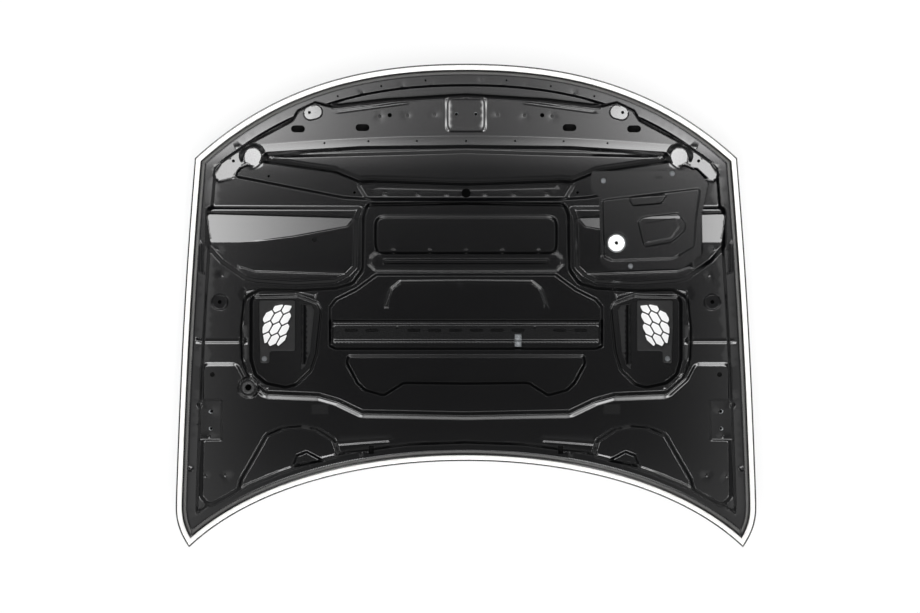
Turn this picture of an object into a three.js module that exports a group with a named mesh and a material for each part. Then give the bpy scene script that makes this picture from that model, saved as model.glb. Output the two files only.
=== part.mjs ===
// Car bonnet lying on its outer skin, underside up: X across the car, +Y to the nose, +Z up.
// All sizes are millimetres. Outlines of one side are written for the right half and mirrored.
import * as THREE from 'three';

// Plan of the bonnet
const APEX_Y = 627;
const CORNER = [705, 382];
const WIDEST = [752, -505];
const TIP = [716, -627];
const REAR_Y = -408;
const APEX_HANDLE = 261;
const CORNER_FRONT_HANDLE = [-209, 192];
const CORNER_SIDE_HANDLE = [29, -313];
const WIDEST_FRONT_HANDLE = [-6, 308];
const WIDEST_REAR_HANDLE = [0, -32];
const TIP_SIDE_HANDLE = [38, 54];
const TIP_REAR_HANDLE = [-170, 162];
const REAR_HANDLE = 250;

// Crown of the skin, with the flat-topped power bulge that it lies on
const CROWN_RADIUS_X = 4800;
const CROWN_RADIUS_Y = 3600;
const CROWN_CENTRE_Y = 30;
const NOSE_START_Y = 350;
const NOSE_DROP = 26;
const BULGE_DEPTH = 9;
const BULGE_FLATTENING = 0.9;
const BULGE_FRONT_HALF_WIDTH = 250;
const BULGE_REAR_HALF_WIDTH = 330;
const BULGE_FRONT_Y = 480;
const BULGE_REAR_Y = -300;
const BULGE_RAMP = 45;

// Sheet, hem and sealer
const SKIN_THICKNESS = 1;
const PANEL_THICKNESS = 1;
const SEAT_GAP = 0.3;
const HEM_RETURN = 12;
const PANEL_EDGE_INSET = 3.5;
const SKIN_RING_INSET = 20;
const SEALER_START = 4;
const SEALER_END = 15.5;
const SEALER_HEIGHT = 1.3;

// Edge of the inner panel, as distances in from the rim
const WALL_FOOT_INSET = 16.5;
const WALL_TOP_INSET = 31;
const STRIP_INSET = 52;
const FIELD_INSET = 60;

// Heights of the inner panel over the crown
const STRIP_LEVEL = 24;
const FIELD_LEVEL = 16;
const REAR_FIELD_LEVEL = 12;
const POCKET_LEVEL = 9;
const RECESS_LEVEL = 10;
const FRAME_LEVEL = 32;
const RAIL_LEVEL = 36;
const ARM_LEVEL = 30;
const BEAM_LEVEL = 38;
const BAR_FLOOR_LEVEL = 20;
const SHOULDER_LEVEL = 22;

// Fixed points on the panel, each given on the right half
const CUP_CENTRE = [554, 386];
const CUP_RADIUS = 36;
const CUP_LEVEL = 26;
const OVAL_CENTRE = [397, 499];
const OVAL_SIZE = [46, 32];
const OVAL_TILT = -15;
const BOSS_CENTRE = [641, 8];
const BOSS_RADIUS = 18;
const BOSS_LEVEL = 22;
const LATCH_CENTRE = [0, 496];
const LATCH_SIZE = [92, 77];
const LATCH_HOLE_X = 25;
const HINGE_CENTRE = [663, -299];
const HINGE_SEAT = [44, 92];
const HINGE_HOLE_PITCH = 44;
const HINGE_LEVEL = 18;
const VENT_CENTRE = [472, -72];
const VENT_LEVEL = 8;

// Slotted bar along the middle of the panel
const BAR_HALF_LENGTH = 346;
const BAR_END_ROOM = 14;
const BAR_FRONT_Y = -36;
const BAR_REAR_Y = -101;
const BAR_THICKNESS = 1.2;
const BAR_RIDGE_HEIGHT = 11;
const BAR_WEB_HEIGHT = 6;
const BAR_SLOT_PITCH = 54.5;
const BAR_SLOT = [34, 8];
const BAR_SLOT_Y = -66;
const CLIP_WIDTH = 18;
const CLIP_THICKNESS = 1.2;

// Bracket plate over the right pocket, and its stand-off
const BRACKET_THICKNESS = 1.2;
const BRACKET_LEVEL = 26;
const BRACKET_DISH_DEPTH = 5;
const BRACKET_SLOT_CENTRE = [500, 332];
const BRACKET_SLOT = [22, 7];
const STANDOFF_CENTRE = [393, 162];
const STANDOFF_RADIUS = 25;
const STANDOFF_TOP_RADIUS = 21;
const STANDOFF_HEIGHT = 16;
const STANDOFF_BORE = 4.5;

// Vent grilles and baffles
const GRILLE_THICKNESS = 3;
const GRILLE_MARGIN = 6;
const GRILLE_CENTRE = [498, -62];
const CELL_COLUMN_STEP = [22.9, 2.9];
const CELL_ROW_STEP = [-4.2, 29.2];
const CELL_BAR = 3.5;
const CELL_REACH = 3;
const CELL_LEAST_AREA = 60;
const CELL_LEAST_SIDE = 1.5;
const BAFFLE_THICKNESS = 2;
const BAFFLE_RIB_HEIGHT = 12;

// Reinforcements, fasteners, grommet and mastic
const REINFORCEMENT_THICKNESS = 2;
const REINFORCEMENT_MARGIN = 6;
const NUT_RADIUS = 9;
const NUT_HEIGHT = 6;
const NUT_BORE = 4.2;
const SCREW_HEAD_RADIUS = 7;
const SCREW_HEAD_HEIGHT = 4;
const SCREW_SHANK_RADIUS = 2.6;
const SCREW_SHANK_LENGTH = 5.5;
const SCREW_HOLE_RADIUS = 3.6;
const GROMMET_CENTRE = [566, -214];
const GROMMET_FLANGE_RADIUS = 17;
const GROMMET_HOLE_RADIUS = 12;
const GROMMET_BORE = 8;
const GROMMET_FLANGE = 3;
const MASTIC_RADIUS = 16;
const MASTIC_CLEARANCE = 0.6;

// Spacing of the points that shape the sheets
const RIM_SPACING = 54;
const RIM_MEASURE_SPACING = 12;
const CONTOUR_SPACING = 50;
const LATTICE_SPACING = 95;
const CLOSEST_POINTS = 4.5;
const SEAT_SPACING = 22;
const SKIN_LATTICE_SPACING = 76;
const SLOPE_MARGIN = 0.4;

const paint = new THREE.MeshStandardMaterial({ color: 0x15161a, roughness: 0.32, metalness: 0.1 });
const coated = new THREE.MeshStandardMaterial({ color: 0x1b1c20, roughness: 0.38, metalness: 0.2 });
const plastic = new THREE.MeshStandardMaterial({ color: 0x111214, roughness: 0.5, metalness: 0 });
const sealant = new THREE.MeshStandardMaterial({ color: 0xe9e8e4, roughness: 0.6, metalness: 0 });
const zinc = new THREE.MeshStandardMaterial({ color: 0xb9bcc0, roughness: 0.35, metalness: 0.9 });
const mastic = new THREE.MeshStandardMaterial({ color: 0x3a3a3c, roughness: 0.9, metalness: 0 });
const rubber = new THREE.MeshStandardMaterial({ color: 0x17171a, roughness: 0.8, metalness: 0 });

// Plan geometry: outlines, distances and rounded corners

const clamp = (value) => Math.min(1, Math.max(0, value));
const mirrored = (outline) => outline.map(([x, y]) => [-x, y]).reverse();

function segmentDistance(x, y, [ax, ay], [bx, by]) {
  const dx = bx - ax;
  const dy = by - ay;
  const along = clamp(((x - ax) * dx + (y - ay) * dy) / (dx * dx + dy * dy));
  return Math.hypot(x - ax - along * dx, y - ay - along * dy);
}

// Distance to an outline, positive inside it
function depthInside(outline, x, y) {
  let nearest = Infinity;
  let inside = false;
  for (let i = 0, j = outline.length - 1; i < outline.length; j = i, i += 1) {
    const [ax, ay] = outline[i];
    const [bx, by] = outline[j];
    nearest = Math.min(nearest, segmentDistance(x, y, outline[i], outline[j]));
    if ((ay > y) !== (by > y) && x < ((bx - ax) * (y - ay)) / (by - ay) + ax) {
      inside = !inside;
    }
  }
  return inside ? nearest : -nearest;
}

// A polygon with each corner turned into an arc, limited by the sides that meet there
function rounded(corners, radius, arcSteps = 4) {
  const outline = [];
  corners.forEach((corner, i) => {
    const before = new THREE.Vector2(...corners[(i + corners.length - 1) % corners.length]);
    const after = new THREE.Vector2(...corners[(i + 1) % corners.length]);
    const here = new THREE.Vector2(...corner);
    const back = before.clone().sub(here);
    const ahead = after.clone().sub(here);
    const halfAngle = Math.acos(back.dot(ahead) / (back.length() * ahead.length())) / 2;
    const reach = Math.min(radius / Math.tan(halfAngle), 0.45 * back.length(), 0.45 * ahead.length());
    const start = here.clone().addScaledVector(back.normalize(), reach);
    const end = here.clone().addScaledVector(ahead.normalize(), reach);
    const arc = new THREE.QuadraticBezierCurve(start, here, end);
    const steps = reach < 1 ? 1 : arcSteps;
    arc.getPoints(steps).forEach((point) => outline.push([point.x, point.y]));
  });
  return outline;
}

function circle([cx, cy], radius, sides = 14) {
  return Array.from({ length: sides }, (_, i) => {
    const angle = (2 * Math.PI * (i + 0.5)) / sides;
    return [cx + radius * Math.cos(angle), cy + radius * Math.sin(angle)];
  });
}

// A slot with round ends, its long way turned by tilt degrees
function obround([cx, cy], [length, width], tilt = 0, arcSteps = 4) {
  const radius = width / 2;
  const turn = THREE.MathUtils.degToRad(tilt);
  const outline = [];
  for (const end of [1, -1]) {
    for (let i = 0; i <= arcSteps; i += 1) {
      const angle = Math.PI * (i / arcSteps - 0.5);
      const x = end * (length / 2 - radius + radius * Math.cos(angle));
      const y = end * radius * Math.sin(angle);
      outline.push([
        cx + x * Math.cos(turn) - y * Math.sin(turn),
        cy + x * Math.sin(turn) + y * Math.cos(turn),
      ]);
    }
  }
  return outline;
}

function rectangle([cx, cy], [width, length]) {
  const x = width / 2;
  const y = length / 2;
  return [[cx - x, cy - y], [cx + x, cy - y], [cx + x, cy + y], [cx - x, cy + y]];
}

// The rim in four stretches between its corners, run anticlockwise from the right front corner

const bezier = (...points) => new THREE.CubicBezierCurve(...points.map(([x, y]) => new THREE.Vector2(x, y)));
const flip = (points) => points.map(([x, y]) => [-x, y]).reverse();
const moved = ([x, y], [dx, dy]) => [x + dx, y + dy];
const FRONT_HALF = [CORNER, moved(CORNER, CORNER_FRONT_HANDLE), [APEX_HANDLE, APEX_Y], [0, APEX_Y]];
const REAR_HALF = [[0, REAR_Y], [REAR_HANDLE, REAR_Y], moved(TIP, TIP_REAR_HANDLE), TIP];
const SIDE = [WIDEST, moved(WIDEST, WIDEST_FRONT_HANDLE), moved(CORNER, CORNER_SIDE_HANDLE), CORNER];
const SIDE_END = [TIP, moved(TIP, TIP_SIDE_HANDLE), moved(WIDEST, WIDEST_REAR_HANDLE), WIDEST];

function stretch(...curves) {
  const path = new THREE.CurvePath();
  curves.forEach((points) => path.add(bezier(...points)));
  return path;
}

const STRETCHES = [
  stretch(FRONT_HALF, flip(FRONT_HALF)),
  stretch(flip(SIDE), flip(SIDE_END)),
  stretch(flip(REAR_HALF), REAR_HALF),
  stretch(SIDE_END, SIDE),
];

// Half of the turn between one stretch's end and the next one's start
function halfTurn(from, to) {
  const cosine = from.curves.at(-1).getTangent(1).dot(to.curves[0].getTangent(0));
  return Math.acos(THREE.MathUtils.clamp(cosine, -1, 1)) / 2;
}

const CORNER_TURNS = STRETCHES.map((path, i) => halfTurn(STRETCHES[(i + 3) % 4], path));

// The rim moved inward: every inset gives the same number of points, in step with each other
function rimLoop(inset, spacing = RIM_SPACING) {
  const loop = [];
  STRETCHES.forEach((path, i) => {
    const length = path.getLength();
    const start = inset * Math.tan(CORNER_TURNS[i]);
    const end = length - inset * Math.tan(CORNER_TURNS[(i + 1) % 4]);
    const count = 2 * Math.round(length / spacing / 2);
    for (let k = 0; k < count; k += 1) {
      const at = (start + ((end - start) * k) / count) / length;
      const point = path.getPointAt(at);
      const tangent = path.getTangentAt(at);
      loop.push([point.x - tangent.y * inset, point.y + tangent.x * inset]);
    }
  });
  return loop;
}

const RIM = rimLoop(0, RIM_MEASURE_SPACING);

// Heights of the crown and of the outer skin's lower face

function crown(x, y) {
  const nose = Math.max(0, (y - NOSE_START_Y) / (APEX_Y - NOSE_START_Y));
  const length = (y - CROWN_CENTRE_Y) ** 2 / (2 * CROWN_RADIUS_Y);
  return BULGE_DEPTH + x ** 2 / (2 * CROWN_RADIUS_X) + length + NOSE_DROP * nose ** 2;
}

const BULGE_PLAN = rounded(
  [
    [-BULGE_FRONT_HALF_WIDTH, BULGE_FRONT_Y],
    [-BULGE_REAR_HALF_WIDTH, BULGE_REAR_Y],
    [BULGE_REAR_HALF_WIDTH, BULGE_REAR_Y],
    [BULGE_FRONT_HALF_WIDTH, BULGE_FRONT_Y],
  ],
  90,
);

function skinHeight(x, y) {
  const blend = clamp(depthInside(BULGE_PLAN, x, y) / BULGE_RAMP);
  const sideways = (BULGE_FLATTENING * x ** 2) / (2 * CROWN_RADIUS_X);
  return crown(x, y) - blend * (BULGE_DEPTH + sideways);
}

// Slope of the crown at a point, for flat seats that lie along it
function crownSeat([cx, cy], level) {
  const step = 1;
  const slopeX = (crown(cx + step, cy) - crown(cx - step, cy)) / (2 * step);
  const slopeY = (crown(cx, cy + step) - crown(cx, cy - step)) / (2 * step);
  return (x, y) => crown(cx, cy) + level + slopeX * (x - cx) + slopeY * (y - cy);
}

const overCrown = (level) => (x, y) => crown(x, y) + level;
const flatAt = ([cx, cy], level) => () => crown(cx, cy) + level;

// Forms pressed into the inner panel, in the order in which they are laid over each other.
// Each has an outline, the width of the slope inside it, and the height that it leads to.

const BEAM_CREASE_Y = 441;
const BEAM_CREASE_DROP = 22;
const BEAM_FALL = 0.3;
const ACROSS = -80;

function beamHeight(x, y) {
  const crease = BEAM_CREASE_Y - BEAM_CREASE_DROP * (x / 500) ** 2;
  return crown(x, y) + BEAM_LEVEL - BEAM_FALL * Math.max(0, crease - y);
}

const POCKET_RAMP_TOP_Y = 232;
const POCKET_RAMP_FALL = 0.2;
const pocketRampHeight = (x, y) => (
  crown(x, y) + STRIP_LEVEL - POCKET_RAMP_FALL * Math.max(0, POCKET_RAMP_TOP_Y - y)
);

const FRAME_OUTLINE = [
  [ACROSS, 273], [262, 268], [274, 235], [276, 95], [300, 62], [341, 50], [445, 44], [541, 46], [582, 22],
  [592, -60], [590, -140], [571, -192], [524, -234], [386, -240], [337, -254], [272, -285], [ACROSS, -292],
];
const TROUGH_OUTLINE = [
  [ACROSS, 409], [516, 392], [530, 378], [339, 351], [277, 326], [248, 328], [ACROSS, 317],
];
const ARM_OUTLINE = [
  [ACROSS, 317], [248, 328], [277, 326], [339, 351], [530, 378], [600, 360], [602, 330], [321, 276],
  [230, 270], [ACROSS, 270],
];
const RAIL_OUTLINE = [[ACROSS, 314], [240, 324], [290, 318], [262, 274], [ACROSS, 274]];
const BEAM_OUTLINE = [
  [ACROSS, 556], [212, 538], [352, 521], [392, 530], [438, 508], [455, 482], [585, 413], [640, 374],
  [661, 340], [648, 314], [604, 326], [582, 352], [516, 388], [270, 404], [ACROSS, 409],
];
const POCKET_OUTLINE = [
  [678, 260], [266, 260], [280, 226], [284, 96], [306, 74], [341, 56], [445, 50], [550, 57], [578, 64],
  [642, 109], [678, 150],
];
const POCKET_RAMP_OUTLINE = [[676, 240], [288, 230], [310, 204], [450, 178], [588, 163], [668, 163]];
const REAR_FIELD_OUTLINE = [
  [ACROSS, -292], [272, -285], [337, -254], [386, -240], [524, -234], [571, -192], [594, -148], [692, -148],
  [692, -500], [664, -528], [567, -474], [484, -440], [400, -412], [317, -392], [150, -370], [ACROSS, -362],
];
const SHOULDER_OUTLINE = [
  [600, -492], [590, -450], [546, -373], [524, -333], [477, -313], [429, -309], [385, -318], [338, -348],
  [322, -396], [400, -414], [484, -442], [567, -476],
];
const SHOULDER_DIP_OUTLINE = [[444, -388], [415, -377], [356, -408], [459, -426]];
const BAR_FLOOR_OUTLINE = [
  [ACROSS, 84], [235, 84], [290, 44], [342, 18], [BAR_HALF_LENGTH + BAR_END_ROOM, -4],
  [BAR_HALF_LENGTH + BAR_END_ROOM, -110], [340, -119], [ACROSS, -119],
];
const LOWER_RECESS_OUTLINE = [
  [ACROSS, -129], [311, -129], [316, -153], [287, -206], [266, -226], [214, -241], [162, -208],
  [ACROSS, -211],
];
const WELL_OUTLINE = [
  [556, 27], [437, 29], [382, 8], [373, -13], [385, -126], [400, -173], [440, -212], [470, -220],
  [524, -208], [553, -184], [565, -143], [565, 10],
];
const VENT_CORNERS = { front: 8, rear: -114, inner: 451, outer: 535 };
const VENT_HOLE = rounded([
  [VENT_CORNERS.outer, VENT_CORNERS.front],
  [VENT_CORNERS.inner, VENT_CORNERS.front],
  [VENT_CORNERS.inner, VENT_CORNERS.rear],
  [VENT_CORNERS.outer - 8, VENT_CORNERS.rear],
  [VENT_CORNERS.outer, -60],
], 14, 2);

const wellSeat = crownSeat(VENT_CENTRE, VENT_LEVEL);
const latchSeat = crownSeat(LATCH_CENTRE, BEAM_LEVEL);
const hingeSeat = crownSeat(HINGE_CENTRE, HINGE_LEVEL);
const grommetSeat = crownSeat(GROMMET_CENTRE, FRAME_LEVEL);

const FORMS = [
  { outline: rounded(REAR_FIELD_OUTLINE, 24, 2), slope: 12, height: overCrown(REAR_FIELD_LEVEL) },
  { outline: rounded(SHOULDER_OUTLINE, 24, 2), slope: 14, height: overCrown(SHOULDER_LEVEL) },
  { outline: rounded(SHOULDER_DIP_OUTLINE, 8, 1), slope: 10, height: overCrown(REAR_FIELD_LEVEL) },
  { outline: rounded(POCKET_OUTLINE, 20, 2), slope: 14, height: overCrown(POCKET_LEVEL) },
  { outline: rounded(POCKET_RAMP_OUTLINE, 12, 1), slope: 4, height: pocketRampHeight },
  { outline: rounded(TROUGH_OUTLINE, 12, 1), slope: 12, height: overCrown(RECESS_LEVEL) },
  { outline: rounded(FRAME_OUTLINE, 26, 2), slope: 13, height: overCrown(FRAME_LEVEL) },
  { outline: rounded(ARM_OUTLINE, 12, 1), slope: 9, height: overCrown(ARM_LEVEL) },
  { outline: rounded(RAIL_OUTLINE, 12, 1), slope: 9, height: overCrown(RAIL_LEVEL) },
  { outline: rounded(BEAM_OUTLINE, 14, 2), slope: 10, height: beamHeight },
  { outline: rounded([[ACROSS, 235], [241, 235], [241, 131], [ACROSS, 131]], 30), slope: 9,
    height: overCrown(RECESS_LEVEL) },
  { outline: rounded([[ACROSS, 122], [217, 122], [217, 105], [ACROSS, 105]], 8, 2), slope: 5,
    height: overCrown(FRAME_LEVEL - 8) },
  { outline: rounded(BAR_FLOOR_OUTLINE, 8, 2), slope: 9, height: overCrown(BAR_FLOOR_LEVEL) },
  { outline: rounded(LOWER_RECESS_OUTLINE, 16, 2), slope: 9, height: overCrown(RECESS_LEVEL) },
  { outline: rounded(WELL_OUTLINE, 22, 2), slope: 10, height: wellSeat, spacing: 26 },
  { outline: circle(CUP_CENTRE, CUP_RADIUS), slope: 11, height: flatAt(CUP_CENTRE, CUP_LEVEL) },
  { outline: obround(OVAL_CENTRE, OVAL_SIZE.map((size) => size + 12), OVAL_TILT), slope: 6,
    height: flatAt(OVAL_CENTRE, BEAM_LEVEL + 3) },
  { outline: circle(BOSS_CENTRE, BOSS_RADIUS + 5), slope: 5, height: flatAt(BOSS_CENTRE, BOSS_LEVEL) },
  { outline: rounded(rectangle(LATCH_CENTRE, LATCH_SIZE.map((size) => size + 18)), 18, 2), slope: 6,
    height: latchSeat, spacing: SEAT_SPACING },
  { outline: rectangle(HINGE_CENTRE, HINGE_SEAT.map((size) => size + 18)), slope: 6, height: hingeSeat,
    spacing: SEAT_SPACING },
  { outline: circle(GROMMET_CENTRE, GROMMET_FLANGE_RADIUS + 13), slope: 7, height: grommetSeat, side: -1 },
];

// Height over the crown of the panel's rim: flange, wall, side strip and the step down to the field
function rimHeight(x, y) {
  const inset = depthInside(RIM, x, y);
  const flange = SKIN_THICKNESS + SEAT_GAP + PANEL_THICKNESS;
  const wall = clamp((inset - WALL_FOOT_INSET) / (WALL_TOP_INSET - WALL_FOOT_INSET));
  const step = clamp((inset - STRIP_INSET) / (FIELD_INSET - STRIP_INSET));
  return crown(x, y) + flange + (STRIP_LEVEL - flange) * wall + (FIELD_LEVEL - STRIP_LEVEL) * step;
}

function panelHeight(x, y) {
  const across = Math.abs(x);
  return FORMS.reduce((height, form) => {
    if (form.side && form.side * x < 0) {
      return height;
    }
    const blend = clamp(depthInside(form.outline, across, y) / form.slope);
    return blend > 0 ? height + (form.height(across, y) - height) * blend : height;
  }, rimHeight(x, y));
}

// Holes of the inner panel: on both halves, and the ones on one half only

const PAIRED_HOLES = [
  obround([436, 457], [36, 18]),
  obround([269, 461], [36, 18]),
  circle([198, 493], 5.5, 8),
  circle([406, 499], 4, 8),
  circle([604, 374], 4, 8),
  circle([396, 171], 6, 8),
  circle(BOSS_CENTRE, 5, 8),
  circle([660, -181], 6, 8),
  circle([LATCH_HOLE_X, LATCH_CENTRE[1]], 4.5, 8),
  circle([HINGE_CENTRE[0], HINGE_CENTRE[1] - HINGE_HOLE_PITCH / 2], 5, 8),
  circle([HINGE_CENTRE[0], HINGE_CENTRE[1] + HINGE_HOLE_PITCH / 2], 5, 8),
  rectangle([247, -378], [13, 20]),
  rectangle([381, -272], [44, 26]),
  VENT_HOLE,
];
const VENT_SCREW = [526, -140];
const BRACKET_SCREWS = [[358, 324], [536, 342], [430, 102]];
const PANEL_HOLES = [
  ...PAIRED_HOLES,
  ...PAIRED_HOLES.map(mirrored),
  circle([0, 292], 12, 10),
  mirrored(circle(GROMMET_CENTRE, GROMMET_HOLE_RADIUS, 10)),
  circle(VENT_SCREW, SCREW_HOLE_RADIUS, 8),
  mirrored(circle(VENT_SCREW, SCREW_HOLE_RADIUS, 8)),
  ...BRACKET_SCREWS.map((centre) => circle(centre, SCREW_HOLE_RADIUS, 8)),
];

// Delaunay triangulation of plan points by inserting them one at a time

function circumcircle([ax, ay], [bx, by], [cx, cy]) {
  const twice = 2 * (ax * (by - cy) + bx * (cy - ay) + cx * (ay - by));
  const a = ax * ax + ay * ay;
  const b = bx * bx + by * by;
  const c = cx * cx + cy * cy;
  const x = (a * (by - cy) + b * (cy - ay) + c * (ay - by)) / twice;
  const y = (a * (cx - bx) + b * (ax - cx) + c * (bx - ax)) / twice;
  return { x, y, squared: (ax - x) ** 2 + (ay - y) ** 2 };
}

function triangulate(points) {
  // A shift far below a micrometre keeps four points from lying on one circle
  const nudged = points.map(([x, y], i) => (
    [x + 2e-4 * Math.sin(i * 12.9898), y + 2e-4 * Math.sin(i * 78.233)]
  ));
  const far = 20000;
  const first = nudged.length;
  nudged.push([-far, -far], [far, -far], [0, far]);
  const build = (a, b, c) => ({ a, b, c, ...circumcircle(nudged[a], nudged[b], nudged[c]) });
  let triangles = [build(first, first + 1, first + 2)];
  for (let i = 0; i < first; i += 1) {
    const [x, y] = nudged[i];
    const edges = new Map();
    const kept = [];
    for (const triangle of triangles) {
      if ((x - triangle.x) ** 2 + (y - triangle.y) ** 2 >= triangle.squared) {
        kept.push(triangle);
        continue;
      }
      const { a, b, c } = triangle;
      for (const [from, to] of [[a, b], [b, c], [c, a]]) {
        if (!edges.delete(`${to},${from}`)) {
          edges.set(`${from},${to}`, [from, to]);
        }
      }
    }
    edges.forEach(([from, to]) => kept.push(build(from, to, i)));
    triangles = kept;
  }
  return triangles.filter(({ a, b, c }) => Math.max(a, b, c) < first).map(({ a, b, c }) => [a, b, c]);
}

// Triangulation cut to an outline and its holes, without slivers along straight edges
function trimmed(points, outline, holes, sliver = 0.02) {
  return triangulate(points).filter((triangle) => {
    const x = triangle.reduce((sum, i) => sum + points[i][0], 0) / 3;
    const y = triangle.reduce((sum, i) => sum + points[i][1], 0) / 3;
    return depthInside(outline, x, y) > sliver && holes.every((hole) => depthInside(hole, x, y) < -sliver);
  });
}

// Swaps the shared side of two triangles wherever the other diagonal lies closer to the height
function fitToHeight(points, triangles, height, rounds = 4) {
  const area = (a, b, c) => (
    (points[b][0] - points[a][0]) * (points[c][1] - points[a][1])
      - (points[c][0] - points[a][0]) * (points[b][1] - points[a][1])
  );
  const level = points.map(([x, y]) => height(x, y));
  const misses = new Map();
  const miss = (a, b) => {
    const key = a < b ? `${a},${b}` : `${b},${a}`;
    if (!misses.has(key)) {
      const middle = height((points[a][0] + points[b][0]) / 2, (points[a][1] + points[b][1]) / 2);
      misses.set(key, Math.abs(middle - (level[a] + level[b]) / 2));
    }
    return misses.get(key);
  };
  for (let round = 0; round < rounds; round += 1) {
    const owners = new Map();
    triangles.forEach((triangle, i) => triangle.forEach((from, k) => {
      owners.set(`${from},${triangle[(k + 1) % 3]}`, [i, triangle[(k + 2) % 3]]);
    }));
    const changed = new Set();
    owners.forEach(([first, c], key) => {
      const [a, b] = key.split(',').map(Number);
      const twin = owners.get(`${b},${a}`);
      if (!twin || a > b || changed.has(first) || changed.has(twin[0])) {
        return;
      }
      const [second, d] = twin;
      const convex = area(a, d, c) > 1 && area(d, b, c) > 1;
      if (convex && miss(c, d) < miss(a, b) - 0.2) {
        triangles[first] = [a, d, c];
        triangles[second] = [d, b, c];
        changed.add(first);
        changed.add(second);
      }
    });
  }
  return triangles;
}

// Plan points, taken in order of importance and never closer to each other than the least spacing
class PlanPoints {
  constructor(points = []) {
    this.points = [...points];
  }

  add(candidates, spacing) {
    for (const [x, y] of candidates) {
      if (this.points.every(([px, py]) => Math.hypot(px - x, py - y) >= spacing)) {
        this.points.push([x, y]);
      }
    }
  }
}

// Points along an outline, with its corners kept and its long sides divided
function divided(outline, spacing) {
  const result = [];
  outline.forEach(([ax, ay], i) => {
    const [bx, by] = outline[(i + 1) % outline.length];
    const steps = Math.max(1, Math.round(Math.hypot(bx - ax, by - ay) / spacing));
    for (let k = 0; k < steps; k += 1) {
      result.push([ax + ((bx - ax) * k) / steps, ay + ((by - ay) * k) / steps]);
    }
  });
  return result;
}

// The same points moved inside an outline by a distance, dropped where the outline is too narrow
function movedInside(outline, points, distance) {
  const step = 0.5;
  return points.flatMap(([x, y]) => {
    const slopeX = depthInside(outline, x + step, y) - depthInside(outline, x - step, y);
    const slopeY = depthInside(outline, x, y + step) - depthInside(outline, x, y - step);
    const length = Math.hypot(slopeX, slopeY);
    const moved = [x + (slopeX / length) * distance, y + (slopeY / length) * distance];
    return depthInside(outline, ...moved) > 0.8 * distance ? [moved] : [];
  });
}

function lattice(spacing) {
  const points = [];
  const row = spacing * Math.sin(Math.PI / 3);
  const rows = Math.ceil(APEX_Y / row);
  const columns = Math.ceil(WIDEST[0] / spacing);
  for (let j = -rows; j <= rows; j += 1) {
    for (let i = -columns; i <= columns; i += 1) {
      points.push([(i + (j % 2) / 2) * spacing, j * row]);
    }
  }
  return points;
}

// A closed sheet: its upper and lower faces share one plan triangulation, and every free edge of it
// is closed by a chain of vertices that leads from the upper face to the lower one.

function sheetGeometry(plan, triangles, upper, lower, chainOf) {
  const vertices = [...upper, ...lower];
  const faces = [];
  const edges = new Map();
  for (const [a, b, c] of triangles) {
    faces.push([a, b, c], [c + plan.length, b + plan.length, a + plan.length]);
    for (const [from, to] of [[a, b], [b, c], [c, a]]) {
      if (!edges.delete(`${to},${from}`)) {
        edges.set(`${from},${to}`, [from, to]);
      }
    }
  }
  const chains = new Map();
  const chain = (index) => {
    if (!chains.has(index)) {
      const between = chainOf(index).map((point) => vertices.push(point) - 1);
      chains.set(index, [index, ...between, index + plan.length]);
    }
    return chains.get(index);
  };
  edges.forEach(([from, to]) => {
    const left = chain(from);
    const right = chain(to);
    for (let k = 0; k + 1 < left.length; k += 1) {
      faces.push([left[k], left[k + 1], right[k + 1]], [left[k], right[k + 1], right[k]]);
    }
  });
  const used = new Map();
  const positions = [];
  const index = faces.flat().map((vertex) => {
    if (!used.has(vertex)) {
      used.set(vertex, used.size);
      positions.push(...vertices[vertex]);
    }
    return used.get(vertex);
  });
  const geometry = new THREE.BufferGeometry();
  geometry.setAttribute('position', new THREE.Float32BufferAttribute(positions, 3));
  geometry.setIndex(index);
  geometry.computeVertexNormals();
  return geometry;
}

// Lower face of a pressed sheet: each vertex moved against its neighbours' mean normal, far enough
// for the faces around it to keep the sheet's thickness
function offsetBelow(upper, triangles, thickness) {
  const points = upper.map((point) => new THREE.Vector3(...point));
  const sums = points.map(() => new THREE.Vector3());
  const normals = triangles.map(([a, b, c]) => {
    const ab = points[b].clone().sub(points[a]);
    return ab.cross(points[c].clone().sub(points[a])).normalize();
  });
  triangles.forEach((triangle, i) => triangle.forEach((vertex) => sums[vertex].add(normals[i])));
  sums.forEach((sum) => sum.normalize());
  const leanest = points.map(() => 1);
  triangles.forEach((triangle, i) => triangle.forEach((vertex) => {
    leanest[vertex] = Math.min(leanest[vertex], sums[vertex].dot(normals[i]));
  }));
  return points.map((point, i) => {
    const reach = thickness / Math.max(0.7, leanest[i]);
    return point.addScaledVector(sums[i], -reach).toArray();
  });
}

// A plate from its outline, holes and height, with extra plan points where its form turns.
// A pressed one keeps its thickness; a moulded one is solid down to its underside.
function pressedSheet({
  outline, holes = [], height, thickness, under, contours = [], fill = LATTICE_SPACING,
  closest = CLOSEST_POINTS, rim,
}) {
  const plan = new PlanPoints(outline);
  holes.forEach((hole) => plan.points.push(...hole));
  contours.forEach((contour) => plan.add(contour, closest));
  const free = lattice(fill).filter(([x, y]) => depthInside(outline, x, y) > fill / 3);
  plan.add(free, 0.5 * fill);
  plan.points = plan.points.filter(([x, y], i) => (
    i < outline.length + holes.flat().length
      || (depthInside(outline, x, y) > 2 && holes.every((hole) => depthInside(hole, x, y) < -2))
  ));
  const triangles = fitToHeight(plan.points, trimmed(plan.points, outline, holes), height);
  const upper = plan.points.map(([x, y]) => [x, y, height(x, y)]);
  const lower = under
    ? plan.points.map(([x, y]) => [x, y, under(x, y)])
    : offsetBelow(upper, triangles, thickness);
  if (rim) {
    rim.lower.forEach((point, i) => {
      lower[i] = point;
    });
  }
  const chainOf = (index) => (rim && index < outline.length ? rim.loops.map((loop) => loop[index]) : []);
  return sheetGeometry(plan.points, triangles, upper, lower, chainOf);
}

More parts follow.
